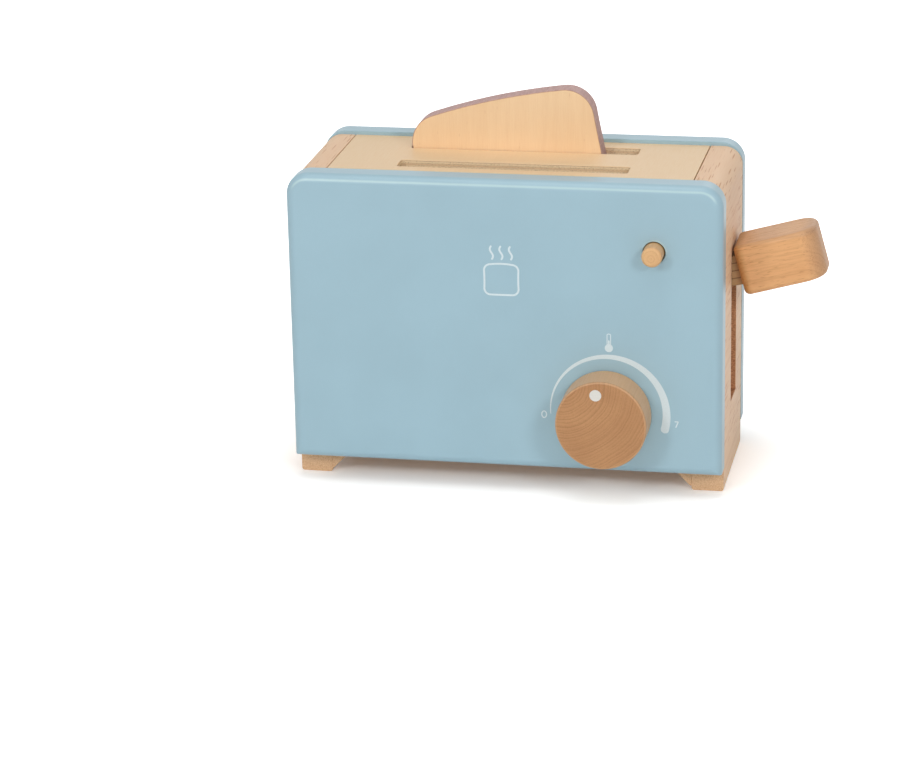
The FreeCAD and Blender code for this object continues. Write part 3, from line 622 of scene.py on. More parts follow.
blue_paint = satin_paint("blue_paint", colour(163, 195, 208))
panel_print = printed_ink("panel_print", colour(222, 236, 240))
dot_paint = printed_ink("dot_paint", colour(232, 229, 221))
steel = zinc_steel("steel", 0.62)
felt = wool_felt("felt", (0.10, 0.10, 0.11))
print("materials", len(bpy.data.materials))

# %% [markdown]
# ## From an outline to a solid piece
# Nearly every piece of this toy is a board: an outline with rounded corners,
# carried through a thickness, with its edges sanded round. So one surface does
# for all of them. Its first parameter walks round the outline, its second goes
# through the thickness, and near the two faces the outline is drawn inwards by
# a quarter circle. The two flat faces close it.

# %% Outlines, edge rounds and boards
def rounded_outline(corners, steps=10):
    """Closed outline through (a, b, radius) corners. Each corner becomes an arc that touches
    both sides: its centre lies on the half angle, radius / sin(half) from the corner, and the
    arc turns evenly from one touching point to the other. Returns the points and, for each
    one, the direction away from the board's middle."""
    corners = np.array(corners, float)
    here, radius = corners[:, :2], corners[:, 2:]
    to_before = np.roll(here, 1, axis=0) - here
    to_after = np.roll(here, -1, axis=0) - here
    to_before /= np.linalg.norm(to_before, axis=1, keepdims=True)
    to_after /= np.linalg.norm(to_after, axis=1, keepdims=True)
    half = np.arccos(np.clip((to_before * to_after).sum(axis=1, keepdims=True), -1, 1)) / 2
    middle = to_before + to_after
    middle /= np.linalg.norm(middle, axis=1, keepdims=True)
    centre = here + middle * radius / np.sin(half)
    start = here + to_before * radius / np.tan(half) - centre
    end = here + to_after * radius / np.tan(half) - centre
    sweep = (math.pi - 2 * half)[:, None, :]
    share = np.linspace(0, 1, steps + 1)[None, :, None]
    arc = np.sin((1 - share) * sweep) * start[:, None] + np.sin(share * sweep) * end[:, None]
    arc /= np.sin(sweep)
    points = (centre[:, None] + arc).reshape(-1, 2)
    outward = (arc / radius[:, None]).reshape(-1, 2)
    spin = to_before[:, 0] * to_after[:, 1] - to_before[:, 1] * to_after[:, 0]
    after = np.roll(here, -1, axis=0)
    area = np.sum(here[:, 0] * after[:, 1] - after[:, 0] * here[:, 1])
    bends_out = np.repeat(np.sign(-spin * area), steps + 1)[:, None]
    return points, outward * bends_out


def box_outline(low, high, radius, steps=4):
    """Rectangle between two opposite corners, with all its corners rounded alike."""
    return rounded_outline([(low[0], low[1], radius), (high[0], low[1], radius),
                            (high[0], high[1], radius), (low[0], high[1], radius)], steps)


def edge_rounds(low, high, edge, steps):
    """Profile through a board's thickness as (drawn in, depth) pairs: a quarter circle near
    each face, a straight wall between them."""
    angle = np.linspace(0, math.pi / 2, steps + 1)
    lower = np.stack([edge * (1 - np.sin(angle)), low + edge * (1 - np.cos(angle))], axis=1)
    upper = np.stack([edge * (1 - np.cos(angle)), high - edge * (1 - np.sin(angle))], axis=1)
    return np.concatenate([lower, upper])


def lay(first, second, depth, plane):
    """Outline numbers and depth put on X, Y and Z: xz is a board that stands facing the front,
    xy one that lies flat, yz one that stands facing the side."""
    order = {"xz": (first, depth, second), "xy": (first, second, depth),
             "yz": (depth, first, second)}
    return np.stack(np.broadcast_arrays(*order[plane]), axis=-1)


def board_grid(outline, profile, plane):
    """Grid of points: row by row the outline, drawn inwards and moved through the thickness."""
    points, inward = outline
    shape = points[None] - profile[:, None, :1] * inward[None]
    return lay(shape[..., 0], shape[..., 1], profile[:, 1:2], plane)


def grid_faces(rows, columns, close_rows=False, start=0):
    """Four-cornered faces between neighbouring rows and columns; the columns always close."""
    row = np.arange(rows if close_rows else rows - 1)[:, None]
    column = np.arange(columns)[None, :]
    below = row * columns + column
    beside = row * columns + (column + 1) % columns
    above = ((row + 1) % rows) * columns + column
    across = ((row + 1) % rows) * columns + (column + 1) % columns
    return (np.stack([below, beside, across, above], axis=-1).reshape(-1, 4) + start).tolist()


def closed_shell(grid):
    """Points and faces of a grid whose first and last rows are closed with flat faces."""
    rows, columns = grid.shape[:2]
    faces = grid_faces(rows, columns)
    faces += [list(range(columns))[::-1], list(range((rows - 1) * columns, rows * columns))]
    return grid.reshape(-1, 3), faces


def ring_shell(grid):
    """Points and faces of a grid that closes both ways, such as a ring."""
    rows, columns = grid.shape[:2]
    return grid.reshape(-1, 3), grid_faces(rows, columns, close_rows=True)


def gather(shells):
    """Several shells as one set of points and faces."""
    points, faces, start = [], [], 0
    for shell_points, shell_faces in shells:
        points.append(shell_points)
        faces += [[index + start for index in face] for face in shell_faces]
        start += len(shell_points)
    return np.concatenate(points), faces


def board(outline, low, high, plane, edge=0.35, steps=3):
    """A board between two depths, with its edges sanded round."""
    return closed_shell(board_grid(outline, edge_rounds(low, high, edge, steps), plane))


print("a test board has", len(board(box_outline((0, 0), (9, 9), 1), 0, 3, "xy")[1]), "faces")

# %% [markdown]
# ## Putting a piece into the scene
# A finished mesh rides on its body and hides the solid that it stands for.
# Smooth shading with sharp edges by angle gives crisp corners, and weighted
# normals keep large flat faces truly flat beside their small edge rounds. Holes
# are cut with a boolean, and the result is kept as plain mesh.

# %% Finish a piece
def new_object(name, shell):
    points, faces = shell
    mesh = bpy.data.meshes.new(name)
    mesh.from_pydata(((points + MIDDLE) * MM).tolist(), [], faces)
    mesh.update()
    work = bmesh.new()
    work.from_mesh(mesh)
    bmesh.ops.recalc_face_normals(work, faces=work.faces)
    work.to_mesh(mesh)
    work.free()
    piece = bpy.data.objects.new(name, mesh)
    bpy.context.scene.collection.objects.link(piece)
    return piece


def keep_modifiers(piece):
    """The piece's mesh with its modifiers taken in."""
    bpy.context.view_layer.update()
    graph = bpy.context.evaluated_depsgraph_get()
    mesh = bpy.data.meshes.new_from_object(piece.evaluated_get(graph))
    piece.modifiers.clear()
    piece.data = mesh


def cut(piece, shells):
    """Cuts the shells out of the piece, one after the other."""
    for shell in shells:
        tool = new_object("cutter", shell)
        boolean = piece.modifiers.new("cut", "BOOLEAN")
        boolean.operation = "DIFFERENCE"
        boolean.solver = "EXACT"
        boolean.object = tool
        keep_modifiers(piece)
        bpy.data.objects.remove(tool)


def finish(piece, body, material, nodes=(), sharp=32):
    """Material, shading, body and the solids that the piece stands for."""
    mesh = piece.data
    mesh.name = piece.name
    mesh.materials.clear()
    mesh.materials.append(material)
    mesh.shade_smooth()
    mesh.set_sharp_from_angle(angle=math.radians(sharp))
    weighted = piece.modifiers.new("flat faces stay flat", "WEIGHTED_NORMAL")
    weighted.keep_sharp = True
    if body:
        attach(piece, body)
    if nodes:
        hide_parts(*nodes)
    size = np.ptp([vertex.co for vertex in mesh.vertices], axis=0) / MM
    print(piece.name, "mm", np.round(size, 2), "faces", len(mesh.polygons))


def make(name, shell, body, material, node, holes=(), sharp=32):
    """Builds a piece, cuts its holes and finishes it; a print stands for no solid."""
    piece = new_object(name, shell)
    cut(piece, holes)
    finish(piece, body, material, [node] if node else (), sharp)
    return piece


# %% [markdown]
# ## The painted panels
# Each panel is 13 mm board with a large round all along its outer edge and
# round upper corners. At each depth it is a new rounded rectangle, drawn in by
# one amount all round, and the upper corners' radius shrinks by as much. Holes
# are drilled for the button, the knob's axle, the hinge dowel and the dowels.
# The shapes that drill them are turned pieces, so the lathe comes first.

# %% Lathe and drills
def turned(profile, centre, axis="y", steps=72):
    """Turned piece: (radius, place along the axis) pairs carried round the axis."""
    angle = np.linspace(0, 2 * math.pi, steps, endpoint=False)
    profile = np.array(profile, float)
    across = profile[:, :1] * np.cos(angle)
    upward = profile[:, :1] * np.sin(angle)
    along = np.broadcast_to(profile[:, 1:2], across.shape)
    order = {"y": (across, along, upward), "x": (along, across, upward),
             "z": (across, upward, along)}
    return np.stack(order[axis], axis=-1) + np.array(centre, float)


def lathe(profile, centre, axis="y", steps=72):
    """Turned piece that is solid to its axis."""
    return closed_shell(turned(profile, centre, axis, steps))


def flared_hole(x, z, radius, face_y, depth, flare):
    """Drill for a round hole from the front: near the face it opens by a quarter circle."""
    angle = np.radians(np.linspace(0, 78, 7))
    mouth = np.stack([radius + flare * (1 - np.cos(angle)), flare * (1 - np.sin(angle))], axis=1)
    profile = [(radius, depth)] + mouth.tolist() + [(mouth[-1, 0] + 0.3, -1.0)]
    return lathe(np.array(profile) + (0, face_y), (x, 0, z))


def plain_hole(x, z, radius, y0, y1):
    return lathe([(radius, y0), (radius, y1)], (x, 0, z), steps=36)


print("a drill has", len(plain_hole(0, 0, 1, 0, 1)[1]), "faces")

# %% Panels
FRONT_Y, INNER_Y = PANEL_LOW[1], PANEL_HIGH[1]
BEYOND = 2                          # a drill starts and ends this far outside the board
PEG_BORE, AXLE_BORE, DOWEL_BORE, SCREW_BORE = 5.35, 5.08, 4.02, 1.3
HINGE_DEEP, DOWEL_DEEP, SCREW_DEEP = 7.0, 9.0, 6.0
SCREW_Z = (87.6, 108.4)             # the two screws of the catch's bracket
wall_low, wall_high = measure("right_side_wall")
WALL_IN, WALL_OUT, WALL_TOP = wall_low[0], wall_high[0], wall_high[2]
DOWELS = [(side * (WALL_IN + WALL_OUT) / 2, z) for side in (-1, 1) for z in (30.0, 126.0)]


def panel_rows():
    """(drawn in, depth from the outer face) through the thickness."""
    thick = PANEL_HIGH[1] - PANEL_LOW[1]
    many, few = np.linspace(0, math.pi / 2, 19), np.linspace(0, math.pi / 2, 4)
    front = np.stack([PANEL_ROUND * (1 - np.sin(many)), PANEL_ROUND * (1 - np.cos(many))], axis=1)
    back = np.stack([PANEL_BACK_ROUND * (1 - np.cos(few)),
                     thick - PANEL_BACK_ROUND * (1 - np.sin(few))], axis=1)
    return np.concatenate([front, back])


def panel_shell(outer_y, inner_y):
    """Each row is the rounded rectangle for its depth."""
    half = PANEL_HIGH[0]
    toward = 1 if inner_y > outer_y else -1
    rows = []
    for inward, depth in panel_rows():
        corner = PANEL_CORNER - inward
        outline, _ = rounded_outline([(-half + inward, PANEL_LOW[2] + inward, LOW_CORNER),
                                      (half - inward, PANEL_LOW[2] + inward, LOW_CORNER),
                                      (half - inward, PANEL_HIGH[2] - inward, corner),
                                      (-half + inward, PANEL_HIGH[2] - inward, corner)], 16)
        rows.append(lay(outline[:, 0], outline[:, 1], outer_y + toward * depth, "xz"))
    return closed_shell(np.array(rows))


def inner_bores(bores, side):
    """Holes from a panel's inner face; side is 1 for the front panel, -1 for the back one."""
    return [plain_hole(x, z, radius, *sorted((side * (INNER_Y - deep), side * (INNER_Y + BEYOND))))
            for x, z, radius, deep in bores]


bores = [(HINGE[0], HINGE[2], DOWEL_BORE, HINGE_DEEP)]
bores += [(x, z, DOWEL_BORE, DOWEL_DEEP) for x, z in DOWELS]
screw_bores = [(BUTTON_X, z, SCREW_BORE, SCREW_DEEP) for z in SCREW_Z]
through = [flared_hole(BUTTON_X, BUTTON_Z, PEG_BORE, FRONT_Y, 20.0, 0.5),
           plain_hole(KNOB_X, KNOB_Z, AXLE_BORE, FRONT_Y - BEYOND, INNER_Y + BEYOND)]
for node, side, holes in (("front_panel", 1, through + inner_bores(bores + screw_bores, 1)),
                          ("back_panel", -1, inner_bores(bores, -1))):
    make(node + "_painted", panel_shell(side * FRONT_Y, side * INNER_Y), "housing", blue_paint,
         node, holes)

# %% [markdown]
# ## The wooden casing between the panels
# Side walls, glue blocks, top board and floor board are boards with lightly
# sanded edges. The top board carries the two bread slots; the tool that cuts
# them flares a little at both faces, which leaves the slots' edges softened and
# the plies of the cut showing. The right wall gets the tall slot for the lever.

# %% Side walls and their glue blocks
def slot_tool(outline, low, high, plane, flare=0.3):
    """Cutter whose walls open outwards by a quarter circle near both faces of the board."""
    angle = np.radians(np.linspace(0, 75, 5))
    out, along = -flare * (1 - np.cos(angle)), flare * (1 - np.sin(angle))
    lower = np.stack([out, low + along], axis=1)[::-1]
    upper = np.stack([out, high - along], axis=1)
    beyond = [[[lower[0, 0] - 0.1, low - 1.0]], lower, upper, [[upper[-1, 0] - 0.1, high + 1.0]]]
    return closed_shell(board_grid(outline, np.concatenate(beyond), plane))


def side_wall(side):
    """Its upper outer corner is well rounded; its foot runs down to the floor."""
    outline = rounded_outline([(side * WALL_IN, 0, 1.3), (side * WALL_OUT, 0, 1.3),
                               (side * WALL_OUT, WALL_TOP, 9.0),
                               (side * WALL_IN, WALL_TOP, 0.4)], 14)
    return board(outline, wall_low[1], wall_high[1], "xz")


lever_slot = box_outline((ARM_Y - LEVER_SLOT_HALF, LEVER_SLOT_Z[0]),
                         (ARM_Y + LEVER_SLOT_HALF, LEVER_SLOT_Z[1]), 0.8)
slot_cut = [slot_tool(lever_slot, WALL_IN, WALL_OUT, "yz")]
make("left_wall", side_wall(-1), "housing", rubberwood_left, "left_side_wall")
make("right_wall", side_wall(1), "housing", rubberwood_right, "right_side_wall",
     slot_cut)

for side, name in ((-1, "left"), (1, "right")):
    low, high = measure(name + "_foot_block")
    inner, tip = side * WALL_IN, side * (WALL_IN - (high[0] - low[0]))
    outline = rounded_outline([(inner, low[2], 0.4), (inner, high[2], 0.4),
                               (tip, high[2], 0.4)], 4)
    make(name + "_glue_block", board(outline, low[1], high[1], "xz", edge=0.3), "housing",
         rubberwood_block, name + "_foot_block")

# %% Top board, floor board and stop
SLOT_Y = (ARM_Y - 17.3, ARM_Y + 17.3)   # the two bread slots, and the plate's grooves below
BREAD_SLOT_HALF = (56.3, 6.2)
EYE_BORE, EYE_DEEP = 0.85, 8.2
TOP_EYE_X = 80.0


def flat_board(name, material, node, radius=0.4, steps=4, edge=0.35, gap=0.0, holes=()):
    """Board that lies flat over a solid's box, with a gap to its neighbours left and right."""
    low, high = measure(node)
    low[0], high[0] = low[0] + gap, high[0] - gap
    shell = board(box_outline(low, high, radius, steps), low[2], high[2], "xy", edge)
    make(name, shell, "housing", material, node, holes)


low, high = measure("top_board")
half_x, half_y = BREAD_SLOT_HALF
holes = [slot_tool(box_outline((-half_x, y - half_y), (half_x, y + half_y), 2.0, 8),
                   low[2], high[2], "xy", flare=0.35) for y in SLOT_Y]
holes.append(lathe([(EYE_BORE, low[2] - 1), (EYE_BORE, low[2] + EYE_DEEP)],
                   (TOP_EYE_X, ARM_Y, 0), "z", 24))
flat_board("top_board_plywood", top_plies, "top_board", gap=0.18, holes=holes)
flat_board("floor_board", floor_plies, "bottom_board")
flat_board("stop_block_sanded", beech_upright, "stop_block", 2.0, 6)
flat_board("stop_felt_pad", felt, "stop_felt", 2.0, 6, edge=0.6)

# %% [markdown]
# ## The lift arm
# The plate is one plywood board, broad below the slices and narrow where its
# tongue runs out through the wall. It is drawn level and then swung up about
# the hinge, as the spring holds it. The handle is a beech block whose outer end
# is a wide round, with all edges well sanded, so it gets a larger edge round.

# %% Lift plate and hinge batten
plate_low, plate_high = measure("lift_plate", level=True)
PLATE_LOW, PLATE_HIGH = plate_low[2], plate_high[2]
BED_END = HINGE[0] + 140.8          # where the broad bed narrows to the tongue
EYE_X = HINGE[0] + 161.8
TONGUE_HALF = 9.8
TONGUE_END = HINGE[0] + 189.7
GROOVE, GROOVE_HALF, GROOVE_DEEP = (38.3, 135.2), 6.2, 3.5
LEDGE, LEDGE_Y, LEDGE_DEEP = (146.8, 158.8), (-9.8, -3.3), 8.3
HINGE_BORE = 4.08                   # radius; the batten turns freely on its dowel
IN_HANDLE = TONGUE_END + 0.5        # the tongue's end is sunk a little into the handle


def raised(shell):
    """A piece that was drawn level, swung up about the hinge."""
    points, faces = shell
    return swing(points, TILT), faces


def lift_plate_shell():
    front, back = plate_low[1], plate_high[1]
    near, far = ARM_Y - TONGUE_HALF, ARM_Y + TONGUE_HALF
    outline = rounded_outline([(plate_low[0], front, 1.0), (BED_END, front, 5.0),
                               (BED_END, near, 6.0), (IN_HANDLE, near, 0.4),
                               (IN_HANDLE, far, 0.4), (BED_END, far, 6.0),
                               (BED_END, back, 5.0), (plate_low[0], back, 1.0)], 8)
    return raised(board(outline, PLATE_LOW, PLATE_HIGH, "xy"))


def pocket(span, span_y, depth):
    """Cutter for a sunk place in the plate's upper face; its span is counted from the hinge."""
    outline = box_outline((HINGE[0] + span[0], span_y[0]), (HINGE[0] + span[1], span_y[1]), 0.3, 2)
    reach = np.array([[0, PLATE_HIGH - depth], [0, PLATE_HIGH + 1]])
    return raised(closed_shell(board_grid(outline, reach, "xy")))


holes = [pocket(GROOVE, (y - GROOVE_HALF, y + GROOVE_HALF), GROOVE_DEEP) for y in SLOT_Y]
holes.append(pocket(LEDGE, LEDGE_Y, LEDGE_DEEP))
holes.append(raised(lathe([(EYE_BORE, PLATE_HIGH - EYE_DEEP), (EYE_BORE, PLATE_HIGH + 1)],
                          (EYE_X, ARM_Y, 0), "z", 24)))
make("lift_plate_plywood", lift_plate_shell(), "lift_arm", plate_plies_and_painted_shade, "lift_plate",
     holes)

low, high = measure("hinge_batten", level=True)
outline = rounded_outline([(low[0], low[2], 0.4), (high[0], low[2], 0.4), (high[0], high[2], 7.4),
                           (low[0], high[2], 7.4)], 12)
bore = plain_hole(HINGE[0], HINGE[2], HINGE_BORE, low[1] - 1, high[1] + 1)
make("batten", raised(board(outline, low[1], high[1], "xz")), "lift_arm", beech_inner,
     "hinge_batten", [bore])

# %% Handle
RAKE = math.radians(2.4)            # the handle rises a little more steeply than the plate
SHOULDER = np.array([TONGUE_END, 0, (PLATE_LOW + PLATE_HIGH) / 2])
unraked = swing(swing(solid_points("lever_handle"), -TILT), -RAKE, SHOULDER)
handle_low, handle_high = unraked.min(axis=0), unraked.max(axis=0)


def handle_shell():
    (x0, y0, z0), (x1, y1, z1) = handle_low, handle_high
    outline = rounded_outline([(x0, y0, 3.6), (x1, y0, 10.4), (x1, y1, 10.4), (x0, y1, 3.6)], 20)
    points, faces = board(outline, z0, z1, "xy", edge=2.4, steps=10)
    return raised((swing(points, RAKE, SHOULDER), faces))


make("handle", handle_shell(), "lift_arm", beech_handle, "lever_handle")

# %% [markdown]
# ## Turned pieces
# The knob, the button, the axle and the collar come off a lathe, so each one is
# a short profile carried round its axis. The knob's front rim is softly
# rounded and its back is bored for the axle. A ring of points more or less
# costs nothing, so the profile spends them where the light turns.

# %% Knob, axle and retainer
def quarter(radius, edge, place, toward, steps=6):
    """Rounded rim as (radius, place) pairs, from the wall to the face; toward is -1 for a
    front rim."""
    angle = np.linspace(0, math.pi / 2, steps + 1)
    return np.stack([radius - edge * (1 - np.cos(angle)),
                     place - toward * edge * (1 - np.sin(angle))], axis=1).tolist()


def peg(radius, front, back, edge, steps=6):
    """Profile of a round peg whose two rims are rounded alike."""
    return quarter(radius, edge, front, -1, steps)[::-1] + quarter(radius, edge, back, 1, steps)


def bored_disc(radius, front, back, bore, depth):
    """Bore's end, bore wall, back face, back rim, wall, front rim, front face."""
    profile = [(bore, back - depth), (bore, back)]
    return profile + quarter(radius, 0.5, back, 1)[::-1] + quarter(radius, 0.9, front, -1)


def collar_ring(node, inner, centre, edge=0.4):
    """Ring with rounded outer rims that fills a solid's box."""
    low, high = measure(node)
    outer, front, back = (high[0] - low[0]) / 2, low[1], high[1]
    profile = [(inner, front + edge), (inner, back - edge)]
    profile += quarter(outer, edge, back, 1, 3)[::-1] + quarter(outer, edge, front, -1, 3)
    return ring_shell(turned(profile, centre))


AXLE_R, KNOB_BORE_DEEP = 5.0, 12.0
PILOT_R, PILOT_DEEP = 1.27, 9.1     # the screw's hole in the axle's end
knob_axis = (KNOB_X, 0, KNOB_Z)
knob_profile = bored_disc(KNOB_R, KNOB_FRONT, knob_high[1], AXLE_R, KNOB_BORE_DEEP)
make("knob_turned", lathe(knob_profile, knob_axis, steps=128), "dial", beech_knob, "knob")
low, high = measure("knob_axle")
make("axle", lathe(peg(AXLE_R, low[1], high[1], 0.3), knob_axis), "dial", beech_inner,
     "knob_axle",
     [plain_hole(KNOB_X, KNOB_Z, PILOT_R, high[1] - PILOT_DEEP, high[1] + 1)])
make("retainer", collar_ring("knob_retainer", AXLE_R + 0.02, knob_axis), "dial", retainer_plies,
     "knob_retainer")

# %% Button and its collar
BUTTON_R = (button_high[0] - button_low[0]) / 2
peg_axis = (BUTTON_X - 0.12, 0, BUTTON_Z)   # the peg is loose and leans to one side
button_profile = quarter(BUTTON_R, 1.6, button_low[1], -1, 10)[::-1]
button_profile += quarter(BUTTON_R, 0.4, button_high[1], 1, 4)
make("button", lathe(button_profile, peg_axis), "button", beech_button, "release_button")
make("collar", collar_ring("button_collar", BUTTON_R + 0.01, peg_axis), "button", beech_inner,
     "button_collar")

# %% [markdown]
# ## Screws, pin and dowels
# These are small turned pieces as well. A screw has a flat head with a cross
# slot and a plain shank; the rest of it is in the wood. The hinge dowel and the
# catch pin get chamfered ends. The glued panel dowels can't be seen, so their
# solids stay and only get the wood.

# %% Screws, pin and dowels
HEAD_T, RECESS_HALF = 1.4, 0.32
DOWEL_R, PIN_R = 4.0, 2.0
BRACKET_BASE = 3.0                  # thickness of the base that the screws hold down


def screw(x, z, head_y, head_r, length=9.0):
    """Flat head with a rounded rim towards the back, and its shank towards the front."""
    profile = [(1.2, head_y - length), (1.25, head_y - length + 0.4), (1.25, head_y),
               (head_r, head_y)]
    return lathe(profile + quarter(head_r, 0.4, head_y + HEAD_T, 1, 4), (x, 0, z), steps=40)


def cross_recess(x, z, y, reach):
    """Two crossed bars that cut the driver's recess."""
    depth = np.array([[0, y - 0.8], [0, y + 0.5]])
    bars = [box_outline((x - wide, z - tall), (x + wide, z + tall), 0.1, 2)
            for wide, tall in ((reach, RECESS_HALF), (RECESS_HALF, reach))]
    return [closed_shell(board_grid(bar, depth, "xz")) for bar in bars]


head_y = measure("catch_bracket")[0][1] + BRACKET_BASE
recesses = [bar for z in SCREW_Z for bar in cross_recess(BUTTON_X, z, head_y + HEAD_T, 1.3)]
make("bracket_screw_pair", gather([screw(BUTTON_X, z, head_y, 2.4) for z in SCREW_Z]), "housing",
     steel, "bracket_screws", recesses)
screw_end = measure("retainer_screw")[1][1]
make("axle_screw", screw(KNOB_X, KNOB_Z, screw_end - HEAD_T, 6.5), "dial", steel,
     "retainer_screw", cross_recess(KNOB_X, KNOB_Z, screw_end, 2.4))

low, high = measure("hinge_dowel")
make("hinge_dowel_round", lathe(peg(DOWEL_R, low[1], high[1], 0.6, 3), (HINGE[0], 0, HINGE[2])),
     "housing", beech_inner, "hinge_dowel")
low, high = measure("catch_pin")
pin_axis = (0, (low[1] + high[1]) / 2, (low[2] + high[2]) / 2)
make("catch_pin_round", lathe(peg(PIN_R, low[0], high[0], 0.3, 3), pin_axis, "x", 40),
     "housing", steel, "catch_pin")
dowels = frame["nodes"]["panel_dowels"]
dowels.data.materials.clear()
dowels.data.materials.append(beech_inner)

# %% [markdown]
# ## The catch and its bracket
# The catch is a rocking plywood hook and the bracket a small beech saddle.
# Both solids have the right shape already. A merged copy with its flat faces
# joined takes a narrow bevel, which is all that a sanded edge needs.

# %% Catch and bracket
def sanded_copy(node, name, edge=0.3):
    """Copy of a solid's mesh: doubles merged, flat faces joined, edges bevelled a little."""
    mesh = frame["nodes"][node].data.copy()
    work = bmesh.new()
    work.from_mesh(mesh)
    bmesh.ops.remove_doubles(work, verts=work.verts, dist=1e-6)
    bmesh.ops.dissolve_limit(work, angle_limit=math.radians(1), verts=work.verts, edges=work.edges)
    bmesh.ops.recalc_face_normals(work, faces=work.faces)
    work.to_mesh(mesh)
    work.free()
    piece = bpy.data.objects.new(name, mesh)
    bpy.context.scene.collection.objects.link(piece)
    bevel = piece.modifiers.new("sanded edge", "BEVEL")
    bevel.width = edge * MM
    bevel.segments = 2
    bevel.limit_method = "ANGLE"
    bevel.angle_limit = math.radians(40)
    return piece


finish(sanded_copy("catch_lever", "catch"), "catch", catch_plies, ["catch_lever"])
finish(sanded_copy("catch_bracket", "bracket"), "housing", beech_upright, ["catch_bracket"])

# %% [markdown]
# ## Wire: springs and screw eyes
# A wire is a circle carried along a path. The circle needs two directions
# square to the path at every point; one of them comes from a hint that points
# to the inside of the bend, which never turns suddenly on a coil or a ring. The
# return spring stretches when the handle goes down; here it is built as it
# stands at rest, its coil between the casing and the arm, a hook beyond each end.

# %% Wire helper and paths
EYE_RING, EYE_STAND = 3.4, 5.2      # a screw eye's ring, and its middle above the wood
COIL_R, COIL_WIRE = 3.2, 0.5


def smoothed(rows, spacing, count):
    """Rows whose first three numbers are a place, walked in even steps. Returns them as they
    are, and with each one averaged over its neighbours, so that bends are round."""
    leg = np.linalg.norm(np.diff(rows[:, :3], axis=0), axis=1)
    run = np.concatenate([[0], np.cumsum(leg)])
    even = np.linspace(0, run[-1], int(run[-1] / spacing) + 1)
    walked = np.stack([np.interp(even, run, column) for column in rows.T], axis=1)
    ends = (count // 2, count // 2)
    padded = np.pad(walked, (ends, (0, 0)), "edge")
    kernel = np.ones(count) / count
    return walked, np.stack([np.convolve(column, kernel, "valid") for column in padded.T], axis=1)


def wire(path, hint, radius, sides):
    """Circle carried along the path: the first direction is the hint made square to the path,
    the second is square to both. The ends are closed."""
    along = np.gradient(path, axis=0)
    along /= np.linalg.norm(along, axis=1, keepdims=True)
    first = hint - along * (hint * along).sum(axis=1, keepdims=True)
    first /= np.linalg.norm(first, axis=1, keepdims=True)
    second = np.cross(along, first)
    angle = np.linspace(0, 2 * math.pi, sides, endpoint=False)[None, :, None]
    circle = np.cos(angle) * first[:, None] + np.sin(angle) * second[:, None]
    return closed_shell(path[:, None] + radius * circle)


def screw_eye_shell(foot, axis, shank=8.0, radius=0.8):
    """Shank that bends round into a ring: a straight run, then a turn of 335 degrees."""
    angle = np.radians(np.linspace(0, 335, 120))
    loop = np.stack([EYE_RING * np.sin(angle), 0 * angle, EYE_STAND - EYE_RING * np.cos(angle)],
                    axis=1)
    walked, path = smoothed(np.concatenate([[[0, 0, -shank]], loop]), 0.15, 9)
    path[0], path[-1] = walked[0], walked[-1]
    points, faces = wire(path, np.broadcast_to([0.0, 1.0, 0.0], path.shape), radius, 16)
    x_axis = np.cross([0, 1, 0], axis)
    turn = np.stack([x_axis, [0, 1, 0], axis], axis=1)
    return points @ turn.T + foot, faces


def coil_shell(low, high, side, turns, hooked):
    """Helix from low to high, with a hook beyond each end if it is pulled; side is where the
    coil starts."""
    length = np.linalg.norm(high - low)
    axis = (high - low) / length
    angle = np.linspace(0, 2 * math.pi * turns, turns * 60)
    coil = np.stack([COIL_R * np.cos(angle), COIL_R * np.sin(angle),
                     length * angle / angle[-1]], axis=1)
    inside = np.stack([-np.cos(angle), -np.sin(angle), 0 * angle], axis=1)
    if hooked:
        sweep = np.radians(np.linspace(0, 250, 60))
        hook = np.stack([COIL_R * np.cos(sweep), 0 * sweep, COIL_R * (1 + np.sin(sweep))], axis=1)
        hook_in = np.stack([-np.cos(sweep), 0 * sweep, -np.sin(sweep)], axis=1)
        down = np.array([1, 1, -1])
        coil = np.concatenate([(hook * down)[::-1], coil, hook + [0, 0, length]])
        inside = np.concatenate([(hook_in * down)[::-1], inside, hook_in])
    _, both = smoothed(np.concatenate([coil, inside], axis=1), 0.25, 5)
    points, faces = wire(both[:, :3], both[:, 3:], COIL_WIRE, 10)
    turn = np.stack([side, np.cross(axis, side), axis], axis=1)
    return points @ turn.T + low, faces


print("a screw eye has", len(screw_eye_shell(np.zeros(3), np.array([0, 0, 1.0]))[1]), "faces")

# %% Screw eyes
LEVEL_UP = np.array([-math.sin(TILT), 0, math.cos(TILT)])
plate_foot = swing(np.array([EYE_X, ARM_Y, PLATE_HIGH]), TILT)
top_foot = np.array([TOP_EYE_X, ARM_Y, measure("top_board")[0][2]])
make("plate_eye", screw_eye_shell(plate_foot, LEVEL_UP), "lift_arm", steel, "plate_screw_eye",
     sharp=60)
make("top_eye", screw_eye_shell(top_foot, np.array([0, 0, -1.0])), "housing", steel,
     "top_screw_eye", sharp=60)

# %% Springs
HOOK = 8.35                         # from an eye's middle to where the coil starts
PUSH_Z = 74.0                       # the catch spring's height
low_ring = plate_foot + LEVEL_UP * EYE_STAND
high_ring = top_foot - np.array([0, 0, EYE_STAND])
pull = (high_ring - low_ring) / np.linalg.norm(high_ring - low_ring)
coil_low, coil_high = low_ring + pull * HOOK, high_ring - pull * HOOK
pull_coil = coil_shell(coil_low, coil_high, np.array([0, 1.0, 0]), 8, hooked=True)
spring = make("return_spring_wire", pull_coil, None, steel, "return_spring", sharp=60)
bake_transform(spring)

